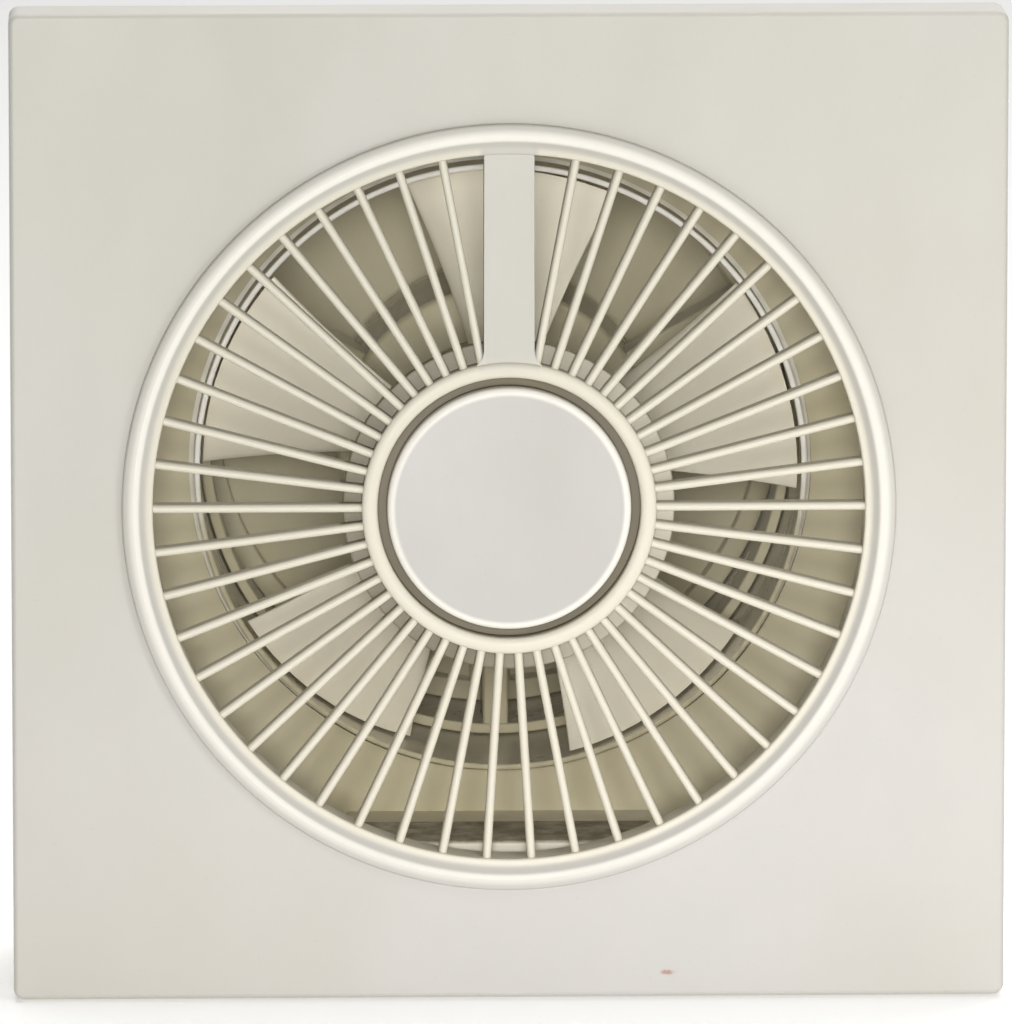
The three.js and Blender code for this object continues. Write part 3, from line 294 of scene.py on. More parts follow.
def bevelled(shape, width, steps=3, choose=None):
    """The shape with its edges rounded. choose picks them by their two end points."""
    bm = bmesh.new()
    corners = [bm.verts.new(p) for p in shape[0]]
    for face in shape[1]:
        bm.faces.new([corners[i] for i in face])
    edges = [e for e in bm.edges if choose is None or choose(e.verts[0].co, e.verts[1].co)]
    bmesh.ops.bevel(bm, geom=edges, offset=width, offset_type="OFFSET", segments=steps, profile=0.5,
                    affect="EDGES", clamp_overlap=True)
    bm.verts.index_update()
    result = [tuple(v.co) for v in bm.verts], [tuple(v.index for v in f.verts) for f in bm.faces]
    bm.free()
    return outward(*result)


def block(x0, x1, y0, y1, z0, z1, edge=0.0, steps=2):
    points = [(x, y, z) for x in (x0, x1) for y in (y0, y1) for z in (z0, z1)]
    faces = [(0, 1, 3, 2), (4, 6, 7, 5), (0, 4, 5, 1), (2, 3, 7, 6), (0, 2, 6, 4), (1, 5, 7, 3)]
    shape = outward(points, faces)
    return bevelled(shape, edge, steps) if edge else shape


def prism(outline, y0, y1, edge=0.0, steps=2):
    """A flat outline of (x, z) points given thickness along Y, with rounded rims if edge is set."""
    count = len(outline)
    points = [(x, y0, z) for x, z in outline] + [(x, y1, z) for x, z in outline]
    faces = [tuple(range(count)), tuple(range(2 * count - 1, count - 1, -1))]
    faces += [(k, k + count, (k + 1) % count + count, (k + 1) % count) for k in range(count)]
    shape = outward(points, faces)
    if not edge:
        return shape
    return bevelled(shape, edge, steps, lambda a, b: abs(a.y - b.y) < 1e-6)


def rounded_square(half, radius, steps=6):
    corners = [(x * half, z * half, radius) for x, z in ((1, -1), (1, 1), (-1, 1), (-1, -1))]
    return rounded(corners, steps)


def combined(base, tools, operation):
    """The base joined with, or cut by, the other shapes."""
    objects = []
    for points, faces in [base, *tools]:
        mesh = bpy.data.meshes.new("work")
        mesh.from_pydata(points.tolist(), [], faces)
        objects.append(added("work", mesh))
    for tool in objects[1:]:
        step = objects[0].modifiers.new("step", "BOOLEAN")
        step.operation = operation
        step.solver = "MANIFOLD"
        step.object = tool
    graph = bpy.context.evaluated_depsgraph_get()
    result = bpy.data.meshes.new_from_object(objects[0].evaluated_get(graph))
    points = np.array([tuple(v.co) for v in result.vertices], float)
    faces = [tuple(p.vertices) for p in result.polygons]
    for obj in objects:
        mesh = obj.data
        bpy.data.objects.remove(obj)
        bpy.data.meshes.remove(mesh)
    bpy.data.meshes.remove(result)
    return points, faces


def joined(shapes):
    return combined(shapes[0], shapes[1:], "UNION")


def cut(shape, tools):
    return combined(shape, tools, "DIFFERENCE")


def skin(loops):
    """A closed shape drawn through loops of equally many points, with a flat cap at each end."""
    count = len(loops[0])
    last = (len(loops) - 1) * count
    faces = []
    for start in range(0, last, count):
        for k in range(count):
            n = (k + 1) % count
            faces.append((start + k, start + n, start + count + n, start + count + k))
    faces += [tuple(range(count - 1, -1, -1)), tuple(range(last, last + count))]
    return outward([p for loop in loops for p in loop], faces)


def between(t, start, end, a, b):
    return (end - t) / (end - start) * a + (t - start) / (end - start) * b


def smooth_line(points, steps):
    """Points along a smooth curve through the given ones."""
    p = [np.array(q, float) for q in points]
    p = [2 * p[0] - p[1], *p, 2 * p[-1] - p[-2]]
    line = []
    for a, b, c, d in zip(p, p[1:], p[2:], p[3:]):
        knots = [0.0]
        for u, v in ((a, b), (b, c), (c, d)):
            knots.append(knots[-1] + max(np.linalg.norm(v - u), 1e-9) ** 0.5)
        t0, t1, t2, t3 = knots
        for t in np.linspace(t1, t2, steps, endpoint=False):
            near = between(t, t0, t1, a, b)
            middle = between(t, t1, t2, b, c)
            far = between(t, t2, t3, c, d)
            start, end = between(t, t0, t2, near, middle), between(t, t1, t3, middle, far)
            line.append(between(t, t1, t2, start, end))
    line.append(p[-2])
    return line


def wire(line, radius, sides=16):
    """A round wire along a line of points."""
    line = [np.array(q, float) for q in line]
    side = None
    loops = []
    for i, here in enumerate(line):
        ahead = line[min(i + 1, len(line) - 1)] - line[max(i - 1, 0)]
        ahead /= np.linalg.norm(ahead)
        if side is None:
            side = np.cross(ahead, (1.0, 0.0, 0.0) if abs(ahead[0]) < 0.9 else (0.0, 1.0, 0.0))
        side = side - side.dot(ahead) * ahead
        side /= np.linalg.norm(side)
        other = np.cross(ahead, side)
        angles = [2 * pi * k / sides for k in range(sides)]
        loops.append([here + radius * (cos(a) * side + sin(a) * other) for a in angles])
    return skin(loops)


# ---- materials

class Look:
    """A procedural material being put together."""

    def __init__(self, name):
        self.material = bpy.data.materials.new(name)
        self.material.use_nodes = True
        self.tree = self.material.node_tree
        self.tree.nodes.clear()
        self.shader = self.add("BsdfPrincipled")
        self.add("OutputMaterial", {"Surface": self.shader.outputs[0]})
        self.place = self.add("TexCoord").outputs["Object"]

    def feed(self, socket, value):
        """Set a socket to a number, a colour or a direction, or link another node's output to it."""
        if isinstance(value, bpy.types.NodeSocket):
            self.tree.links.new(value, socket)
        elif socket.type == "RGBA":
            socket.default_value = (*value, 1.0)
        else:
            socket.default_value = value

    def add(self, kind, inputs=None, **settings):
        """A new node, with its settings made and its inputs fed."""
        node = self.tree.nodes.new("ShaderNode" + kind)
        for key, value in settings.items():
            setattr(node, key, value)
        for key, value in (inputs or {}).items():
            self.feed(node.inputs[key], value)
        return node

    def noise(self, scale, detail=3.0, roughness=0.5, stretch=None):
        where = self.place
        if stretch:
            where = self.add("Mapping", {"Vector": where, "Scale": stretch}).outputs["Vector"]
        inputs = {"Vector": where, "Scale": scale, "Detail": detail, "Roughness": roughness}
        return self.add("TexNoise", inputs).outputs["Fac"]

    def span(self, source, low, high, to_low=0.0, to_high=1.0):
        inputs = {"Value": source, "From Min": low, "From Max": high, "To Min": to_low, "To Max": to_high}
        return self.add("MapRange", inputs, interpolation_type="SMOOTHSTEP").outputs["Result"]

    def span_mm(self, source, low, high, to_low=0.0, to_high=1.0):
        """The same for a distance, with its ends in millimetres."""
        return self.span(source, low * MM, high * MM, to_low, to_high)

    def maths(self, operation, a, b=0.0):
        return self.add("Math", {0: a, 1: b}, operation=operation).outputs[0]

    def times(self, first, *others):
        for other in others:
            first = self.maths("MULTIPLY", first, other)
        return first

    def mix(self, amount, a, b):
        """Colour a where the amount is 0, and b where it is 1."""
        node = self.add("Mix", {"Factor": amount}, data_type="RGBA")
        first, second = [s for s in node.inputs if s.type == "RGBA"]
        self.feed(first, a)
        self.feed(second, b)
        return [s for s in node.outputs if s.type == "RGBA"][0]

    def spread(self):
        """The place's x, y and z, the place without its y, and its distance from the fan axis."""
        x, y, z = self.add("SeparateXYZ", {0: self.place}).outputs
        across = self.add("CombineXYZ", {"X": x, "Z": z}).outputs[0]
        radius = self.add("VectorMath", {0: across}, operation="LENGTH").outputs["Value"]
        return x, y, z, across, radius

    def facing(self, direction):
        """How far the surface looks in a direction of the object: 1 straight at it, -1 away from it."""
        normal = self.add("NewGeometry").outputs["Normal"]
        return self.add("VectorMath", {0: normal, 1: direction}, operation="DOT_PRODUCT").outputs["Value"]

    def bump(self, *layers):
        """Surface relief from (height, depth in millimetres) layers."""
        below = {}
        for height, depth in layers:
            node = self.add("Bump", {"Strength": 1.0, "Distance": depth * MM, "Height": height, **below})
            below = {"Normal": node.outputs["Normal"]}
        self.set(**below)

    def so_far(self, name):
        """What feeds one of the shader's sockets already."""
        return self.shader.inputs[name].links[0].from_socket

    def set(self, **sockets):
        for name, value in sockets.items():
            self.feed(self.shader.inputs[name.replace("_", " ")], value)


def linear(red, green, blue):
    """A colour given as it looks on a screen, 0 to 255, in linear light."""
    return tuple(((v / 255 + 0.055) / 1.055) ** 2.4 for v in (red, green, blue))


def plastic(name, fresh, aged, dust_and_shade, rough=0.42, dust_and_shade_amount=0.35, grain=0.012):
    """Moulded plastic: a slightly uneven tint, fine spark-eroded grain, handling marks, and a colour on
    upward faces that is settled dust, except in the wiring cover's look, where it is a painted shade.
    """
    look = Look(name)
    broad = look.span(look.noise(16.0, 2.0), 0.35, 0.7)
    cloudy = look.span(look.noise(75.0, 4.0, 0.6), 0.3, 0.75)
    tint = look.mix(look.times(broad, 0.8), fresh, aged)
    darker = tuple(v * 0.94 for v in fresh)
    tint = look.mix(look.times(cloudy, 0.35), tint, darker)
    specks = look.span(look.noise(900.0, 2.0, 0.4), 0.7, 0.78)
    upward = look.span(look.facing((0.0, 0.0, 1.0)), 0.15, 0.95)
    dust_and_shade_mask = look.times(upward, look.span(look.noise(240.0, 5.0, 0.7), 0.05, 0.75), dust_and_shade_amount)
    tint = look.mix(look.times(specks, 0.12), tint, tuple(v * 0.7 for v in aged))
    tint = look.mix(dust_and_shade_mask, tint, dust_and_shade)
    smears = look.noise(38.0, 4.0, 0.65, (1.0, 1.0, 0.35))
    gloss = look.span(smears, 0.25, 0.8, rough - 0.06, rough + 0.1)
    gloss = look.maths("ADD", gloss, look.times(dust_and_shade_mask, 0.4))
    fine = look.noise(2600.0, 2.0, 0.5)
    sink = look.noise(22.0, 1.0, 0.3)
    look.set(Base_Color=tint, Roughness=gloss, Specular_IOR_Level=0.45, IOR=1.5)
    look.bump((sink, 0.06), (fine, grain))
    return look


EVEN = (1.0, 1.0, 1.0)
AROUND_SHAFT = (1.0, 8.0, 1.0)
AROUND_BORE = (1.0, 1.0, 9.0)


def metal(name, bright, dull, rough, brushed=EVEN, bump_depth=0.006, scale=700.0):
    """Plated or cast metal: cloudy tarnish, fine lines or grain, and a duller colour in patches."""
    look = Look(name)
    tarnish = look.span(look.noise(110.0, 5.0, 0.6), 0.35, 0.7)
    lines = look.noise(scale, 3.0, 0.6, brushed)
    tint = look.mix(tarnish, bright, dull)
    gloss = look.span(lines, 0.2, 0.8, rough - 0.08, rough + 0.14)
    look.set(Base_Color=tint, Metallic=1.0, Roughness=gloss)
    look.bump((lines, bump_depth))
    return look


OFF_WHITE = linear(183, 180, 175)
OFF_WHITE_AGED = linear(177, 173, 163)
CAP_WHITE = linear(170, 167, 163)
CAP_AGED = linear(165, 162, 154)
CREAM = linear(212, 205, 187)
DUST = linear(196, 188, 168)
LINT = linear(222, 211, 184)
# painted shade colour, for the recesses by the hub and the wiring cover's top
SHADE_BROWN = linear(116, 106, 84)
# painted highlight colour for the cap's edge and the rim's crest
EDGE_HIGHLIGHT = linear(218, 214, 204)
# painted shade colour for the inside of the tray and the duct
INTERIOR_SHADE = linear(193, 183, 149)
# painted shade colour for the cover's face towards the upper left
FALLOFF_GREY = linear(141, 139, 125)
MARK = linear(150, 92, 66)
# painted light colour for the cover's sides
SIDE_LIGHT = linear(219, 216, 209)
# painted highlight colour for the throat's lip
LIP_HIGHLIGHT = linear(252, 248, 238)
HOUSING = linear(229, 225, 211)
HOUSING_AGED = linear(218, 211, 190)
BLADE = linear(240, 233, 213)
BLADE_AGED = linear(232, 224, 201)


def recess_shade(look, tint, x, y, radius):
    """Painted shade in the recesses by the hub: thick at the left, thin at the right, and thickest round
    the cap.
    """
    deep = look.span_mm(y, PLATE_FRONT_Y + 0.4, PLATE_FRONT_Y + 2.0)
    near_hub = look.span_mm(radius, HUB_DISC_R + 1.0, HUB_DISC_R + 0.1)
    cells = look.span(look.noise(120.0, 4.0, 0.6), 0.2, 0.7, 0.75, 1.0)
    cells = look.times(cells, look.span_mm(x, 20.0, -8.0, 0.3, 0.95))
    by_cap = look.span_mm(radius, HUB_RING_OUTER_R - 0.6, HUB_RING_OUTER_R - 1.8)
    amount = look.times(deep, near_hub, look.maths("MAXIMUM", cells, by_cap))
    return look.mix(amount, tint, SHADE_BROWN)


def housing_look():
    """Cream plastic, with a painted shade browning the faces that meet the air, towards the room, inside
    the tray and the duct, and a painted highlight along the upper part of the throat's lip.
    """
    look = plastic("housing_plastic", HOUSING, HOUSING_AGED, LINT, rough=0.55, dust_and_shade_amount=0.3, grain=0.02)
    x, y, z, _, radius = look.spread()
    in_duct = look.span_mm(radius, DUCT_R + 0.7, DUCT_R + 0.2)
    reach = look.maths("MAXIMUM", look.maths("ABSOLUTE", x), look.maths("ABSOLUTE", z))
    in_tray = look.times(look.span_mm(reach, TRAY_HALF - 1.2, TRAY_HALF - 1.8), look.span_mm(y, -1.2, -2.0))
    to_room = look.span(look.facing((0.0, -1.0, 0.0)), 0.15, 0.7)
    patchy = look.span(look.noise(60.0, 4.0, 0.6), 0.2, 0.8, 0.82, 1.0)
    # painted shade: brown on the room-facing faces in the duct and on the tray floor
    amount = look.times(look.maths("MAXIMUM", in_duct, in_tray), to_room, patchy)
    tint = look.mix(amount, look.so_far("Base Color"), INTERIOR_SHADE)
    walls = look.times(in_duct, look.maths("SUBTRACT", 1.0, to_room))
    gloss = look.maths("SUBTRACT", look.so_far("Roughness"), look.times(walls, 0.32))
    # painted highlight: the throat's lip is whitened along its upper part only
    lip = look.span_mm(y, COLLAR_FRONT_Y + 0.6, COLLAR_FRONT_Y + 0.1)
    by_throat = look.span_mm(radius, DUCT_R + 1.6, DUCT_R + 1.1)
    lit_lip = look.times(lip, look.span_mm(z, -14.0, 2.0), by_throat)
    look.set(Base_Color=look.mix(lit_lip, tint, LIP_HIGHLIGHT), Roughness=gloss)
    return look


def cap_look():
    """The cap's satin plastic, with a painted highlight on its rounded edge and painted shade down its
    side.
    """
    look = plastic("cap_plastic", CAP_WHITE, CAP_AGED, DUST, rough=0.46, dust_and_shade_amount=0.12)
    x, y, _, _, radius = look.spread()
    edge = look.span_mm(radius, CAP_R - 1.5, CAP_R - 0.7)
    # painted highlight on the cap's rounded edge
    tint = look.mix(look.times(edge, 0.9), look.so_far("Base Color"), EDGE_HIGHLIGHT)
    # painted shade down the cap's side, in the groove
    look.set(Base_Color=recess_shade(look, tint, x, y, radius))
    return look


def cover_look():
    """The cover's satin plastic: creamier on the grille, painted shade greying it towards the upper left,
    painted light whitening its sides, a painted highlight on the rim's crest, painted shade by the hub, and
    one small brown mark near its lower edge."""
    look = plastic("cover_plastic", OFF_WHITE, OFF_WHITE_AGED, DUST, rough=0.5, dust_and_shade_amount=0.18)
    x, y, z, across, radius = look.spread()
    inside = look.span_mm(radius, OPENING_R + 1.8, OPENING_R + 0.3)
    outside_cap = look.span_mm(radius, HUB_RING_INNER_R - 1.5, HUB_RING_INNER_R)
    off_spoke = look.span_mm(look.maths("ABSOLUTE", x), SPOKE_HALF_WIDTH, SPOKE_HALF_WIDTH + 1.0)
    low = look.span_mm(z, 24.0, 20.0)
    grille = look.times(inside, outside_cap, look.maths("MAXIMUM", off_spoke, low))
    tint = look.mix(look.times(grille, 0.85), look.so_far("Base Color"), CREAM)
    # painted shade: greyer towards the upper left, standing for the light falling off there
    slant = look.maths("SUBTRACT", z, look.times(x, 0.4))
    tint = look.mix(look.span_mm(slant, -1.4 * PLATE_HALF, 1.4 * PLATE_HALF, 0.0, 0.5), tint, FALLOFF_GREY)
    # painted light: the sides behind the face are made whiter
    behind_face = look.span_mm(y, PLATE_FRONT_Y + 0.2, PLATE_FRONT_Y + 1.0)
    past_rim = look.span_mm(radius, RIM_OUTER_R + 0.5, RIM_OUTER_R + 1.5)
    tint = look.mix(look.times(behind_face, past_rim), tint, SIDE_LIGHT)
    # painted highlight along the rim's crest
    crest = look.span_mm(y, PLATE_FRONT_Y - 1.3, PLATE_FRONT_Y - 1.66)
    tint = look.mix(look.times(crest, 0.6), tint, EDGE_HIGHLIGHT)
    # painted shade in the recesses by the hub
    tint = recess_shade(look, tint, x, y, radius)
    narrowing = 0.35
    mark = (narrowing * MARK_AT[0] * MM, 0.0, MARK_AT[1] * MM)
    narrowed = look.add("Mapping", {"Vector": across, "Scale": (narrowing, 1.0, 1.0)}).outputs[0]
    away = look.add("VectorMath", {0: narrowed, 1: mark}, operation="DISTANCE").outputs["Value"]
    ragged = look.times(look.noise(1500.0, 3.0, 0.7), 0.6 * MM)
    spot = look.span_mm(look.maths("ADD", away, ragged), 0.85, 0.4)
    look.set(Base_Color=look.mix(look.times(spot, 0.7), tint, MARK))
    return look


def rubber_look():
    look = Look("black_rubber")
    bloom = look.span(look.noise(160.0, 4.0, 0.6), 0.4, 0.8)
    look.set(Base_Color=look.mix(bloom, linear(34, 34, 33), linear(62, 61, 58)), Roughness=0.75)
    look.bump((look.noise(1800.0, 2.0), 0.02))
    return look


def bands(look, direction, scale):
    wave = {"Vector": look.place, "Scale": scale}
    return look.add("TexWave", wave, wave_type="BANDS", bands_direction=direction).outputs["Fac"]


def lamination_look():
    """Steel sheets stacked along the shaft, seen as fine lines round the core."""
    look = Look("laminated_steel")
    sheets = bands(look, "Y", 320.0)
    rust = look.span(look.noise(190.0, 5.0, 0.65), 0.55, 0.75)
    tint = look.mix(rust, linear(120, 118, 115), linear(112, 84, 62))
    look.set(Base_Color=tint, Metallic=0.9, Roughness=look.span(sheets, 0.0, 1.0, 0.4, 0.6))
    look.bump((sheets, 0.03))
    return look


def winding_look():
    """Enamelled copper wire laid in close turns round the pole."""
    look = Look("copper_winding")
    turns = bands(look, "X", 900.0)
    darker = look.span(look.noise(140.0, 3.0), 0.35, 0.7)
    tint = look.mix(darker, linear(186, 98, 54), linear(130, 62, 34))
    look.set(Base_Color=tint, Metallic=0.85, Roughness=look.span(turns, 0.0, 1.0, 0.25, 0.45))
    look.bump((turns, 0.08))
    return look


def sleeve_look(name, colour, worn):
    look = Look(name)
    wear = look.span(look.noise(300.0, 4.0, 0.6), 0.4, 0.8)
    look.set(Base_Color=look.mix(wear, colour, worn), Roughness=0.42)
    look.bump((look.noise(1400.0, 2.0), 0.01))
    return look


COVER_LOOK = cover_look()
CAP_LOOK = cap_look()
HOUSING_LOOK = housing_look()
BLADE_LOOK = plastic("impeller_plastic", BLADE, BLADE_AGED, DUST, 0.5, 0.4, 0.015)
# the wiring cover's upward faces take a painted shade through the dust colour, darkening its top nearly all
# over
WIRING_LOOK = plastic("wiring_cover_plastic", CREAM, HOUSING_AGED, SHADE_BROWN, 0.45, 0.95)
BLOCK_LOOK = plastic("block_plastic", linear(238, 234, 224), linear(226, 218, 200), DUST, 0.4)
NYLON_LOOK = plastic("black_nylon", linear(40, 40, 38), linear(52, 51, 48), linear(120, 116, 106), 0.55)
STEEL_LOOK = metal("zinc_plate", linear(206, 208, 210), linear(172, 170, 160), 0.3)
SHAFT_LOOK = metal("ground_steel", linear(212, 214, 217), linear(186, 188, 190), 0.22, AROUND_SHAFT)
CAST_LOOK = metal("cast_aluminium", linear(190, 192, 194), linear(150, 150, 150), 0.5, EVEN, 0.03, 1200.0)
BRONZE_LOOK = metal("sintered_bronze", linear(176, 128, 78), linear(128, 88, 52), 0.5, EVEN, 0.02, 1900.0)
BRASS_LOOK = metal("machined_brass", linear(204, 176, 104), linear(160, 132, 72), 0.28, AROUND_BORE)
RUBBER_LOOK = rubber_look()
LAMINATION_LOOK = lamination_look()
COPPER_LOOK = metal("bare_copper", linear(196, 116, 74), linear(140, 74, 44), 0.32)
WINDING_LOOK = winding_look()
BROWN_LOOK = sleeve_look("brown_sleeve", linear(98, 60, 36), linear(120, 84, 60))
BLUE_LOOK = sleeve_look("blue_sleeve", linear(44, 92, 152), linear(84, 122, 164))


# ---- making the pieces

CREASE_DEG = 32


def piece(name, shape, nodes, finish, body="fan_housing"):
    """A piece that rides on a CAD body and stands for its CAD nodes. Its finish is a slot and a look; the
    slot is not used.
    """
    slot, look = finish
    mesh = bpy.data.meshes.new(name)
    mesh.from_pydata((shape[0] * MM).tolist(), [], shape[1])
    mesh.validate()
    for face in mesh.polygons:
        face.use_smooth = True
    mesh.set_sharp_from_angle(angle=radians(CREASE_DEG))
    mesh.materials.append(look.material)
    obj = added(name, mesh)
    weighted = obj.modifiers.new("even_normals", "WEIGHTED_NORMAL")
    weighted.keep_sharp = True
    weighted.weight = 80
    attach(obj, body)
    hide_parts(*nodes)


def plate_shell():
    """The square plate with its rounded edge and the skirt behind it, as one closed cup."""
    edge = PLATE_EDGE_ROUND
    rings = []
    for a in np.linspace(0, pi / 2, 7):
        rings.append((PLATE_HALF - edge * (1 - sin(a)), PLATE_FRONT_Y + edge * (1 - cos(a))))
    lip = 0.35
    wall = PLATE_HALF - SKIRT_WALL
    rings += [(PLATE_HALF, SKIRT_BACK_Y - lip), (PLATE_HALF - lip * 0.3, SKIRT_BACK_Y - lip * 0.3),
              (PLATE_HALF - lip, SKIRT_BACK_Y), (wall + lip, SKIRT_BACK_Y),
              (wall + lip * 0.3, SKIRT_BACK_Y - lip * 0.3), (wall, SKIRT_BACK_Y - lip),
              (wall, PLATE_BACK_Y + 1.2), (wall - 0.35, PLATE_BACK_Y + 0.35), (wall - 1.2, PLATE_BACK_Y)]
    loops = []
    for half, y in rings:
        radius = max(PLATE_CORNER_R - (PLATE_HALF - half), 0.5)
        loops.append([(x, y, z) for x, z in rounded_square(half, radius, 8)])
    return skin(loops)


def rim_bead():
    """Steep outside, rounded at the crest, and sloping gently in to a small lip at the opening."""
    crest = PLATE_FRONT_Y - RIM_HEIGHT
    lip = PLATE_FRONT_Y - RIM_LIP_HEIGHT
    corners = [
        (OPENING_R, RIM_COLLAR_Y, 0.3), (OPENING_R, lip, 0.45), (OPENING_R + 1.1, lip - 0.12, 1.2),
        (RIM_CREST_R - 0.5, crest + 0.08, 0.9), (RIM_CREST_R + 0.25, crest, 0.45),
        (RIM_OUTER_R - 0.12, crest + 0.55, 0.6), (RIM_OUTER_R, PLATE_FRONT_Y + 0.4, 0),
        (RIM_OUTER_R, PLATE_BACK_Y - 0.4, 0), (RIM_COLLAR_R, PLATE_BACK_Y - 0.4, 0),
        (RIM_COLLAR_R, RIM_COLLAR_Y, 0.3),
    ]
    return turned(rounded(corners, 6))


def hub_ring():
    middle = (HUB_RING_INNER_R + HUB_RING_OUTER_R) / 2
    half = (HUB_RING_OUTER_R - HUB_RING_INNER_R) / 2
    profile = [(HUB_RING_INNER_R, HUB_DISC_FRONT_Y + 0.5)]
    for a in np.linspace(0, pi, 15):
        profile.append((middle - half * cos(a), PLATE_FRONT_Y - HUB_RING_CREST * sin(a) ** 0.8))
    profile.append((HUB_RING_OUTER_R, HUB_DISC_FRONT_Y + 0.5))
    return turned(profile)


def spoke():
    """The broad top spoke, filleted into the hub ring, with soft edges."""
    inner, outer = HUB_RING_OUTER_R - 1.0, OPENING_R + 1.0
    half, fillet = SPOKE_HALF_WIDTH, 2.0
    side = []
    for t in np.linspace(0, 1, 9):
        x = (1 - t) ** 2 * (half + fillet) + 2 * t * (1 - t) * half + t * t * half
        z = (1 - t) ** 2 * inner + 2 * t * (1 - t) * (inner + 0.5) + t * t * (inner + 1 + fillet)
        side.append((x, z))
    side.append((half, outer))
    outline = side + [(-x, z) for x, z in reversed(side)]
    return prism(outline, PLATE_FRONT_Y - 0.2, RIB_BACK_Y, 0.45, 4)


def ribs():
    """The radial ribs, each with a rounded front."""
    half, crown = RIB_WIDTH / 2, 0.75
    section = [(-half, RIB_BACK_Y)]
    for a in np.linspace(0, pi, 9):
        section.append((-half * cos(a), RIB_FRONT_Y + crown - crown * sin(a)))
    section.append((half, RIB_BACK_Y))
    ends = (HUB_RING_OUTER_R - 0.9, OPENING_R + 0.7)
    rib = skin([[(r, y, z) for z, y in section] for r in ends])
    angles = [place * RIB_PITCH_DEG for place in range(RIB_PLACES)]
    return together([turned_by(rib, a) for a in angles if abs(a - 90) >= RIB_PITCH_DEG])


def tongues():
    """The snap tongues that hold the cover inside the tray's side walls."""
    thick, half_width = 1.5, 5.0
    outer = TRAY_HALF - TRAY_WALL - GAP
    shapes = []
    for z in (-25.0, 25.0):
        low, high = z - half_width, z + half_width
        tongue = block(outer - thick, outer, PLATE_BACK_Y - 0.5, TONGUE_END_Y, low, high, 0.3)
        shapes += [tongue, mirrored(tongue)]
    return shapes


def front_cover():
    shell = cut(plate_shell(), [bar_y(OPENING_R + 0.8, PLATE_FRONT_Y - 1, PLATE_BACK_Y + 1, segments=FINE)])
    disc = bar_y(HUB_DISC_R, HUB_DISC_FRONT_Y, HUB_DISC_BACK_Y, segments=FINE, edge=0.35)
    whole = joined([shell, rim_bead(), ribs(), hub_ring(), spoke(), disc, *tongues()])
    return cut(whole, [bar_y(CAP_STEM_R + GAP, HUB_DISC_FRONT_Y - 1, HUB_DISC_BACK_Y + 1)])


def centre_cap():
    """A very shallow dome with a rounded edge and a stem behind."""
    face = PLATE_FRONT_Y - CAP_CREST
    back = HUB_DISC_FRONT_Y - GAP
    end = HUB_DISC_BACK_Y + 3
    corners = [(0, face, 0), (CAP_R * 0.6, face + 0.04, 6), (CAP_R - 0.1, face + 0.2, 1.1),
               (CAP_R, back, 0.2), (CAP_STEM_R, back, 0), (CAP_STEM_R, end, 0.5), (0, end, 0)]
    return turned(rounded(corners, 8))


def keyhole(x, z):
    front, back = FLOOR_FRONT_Y - 1, 1.0
    top = z + FIXING_SLOT_RUN
    return joined([
        bar_y(FIXING_HEAD_R, front, back, x, z, ROUND),
        bar_y(FIXING_SLOT_R, front, back, x, top, SMALL),
        block(x - FIXING_SLOT_R, x + FIXING_SLOT_R, front, back, z, top),
    ])


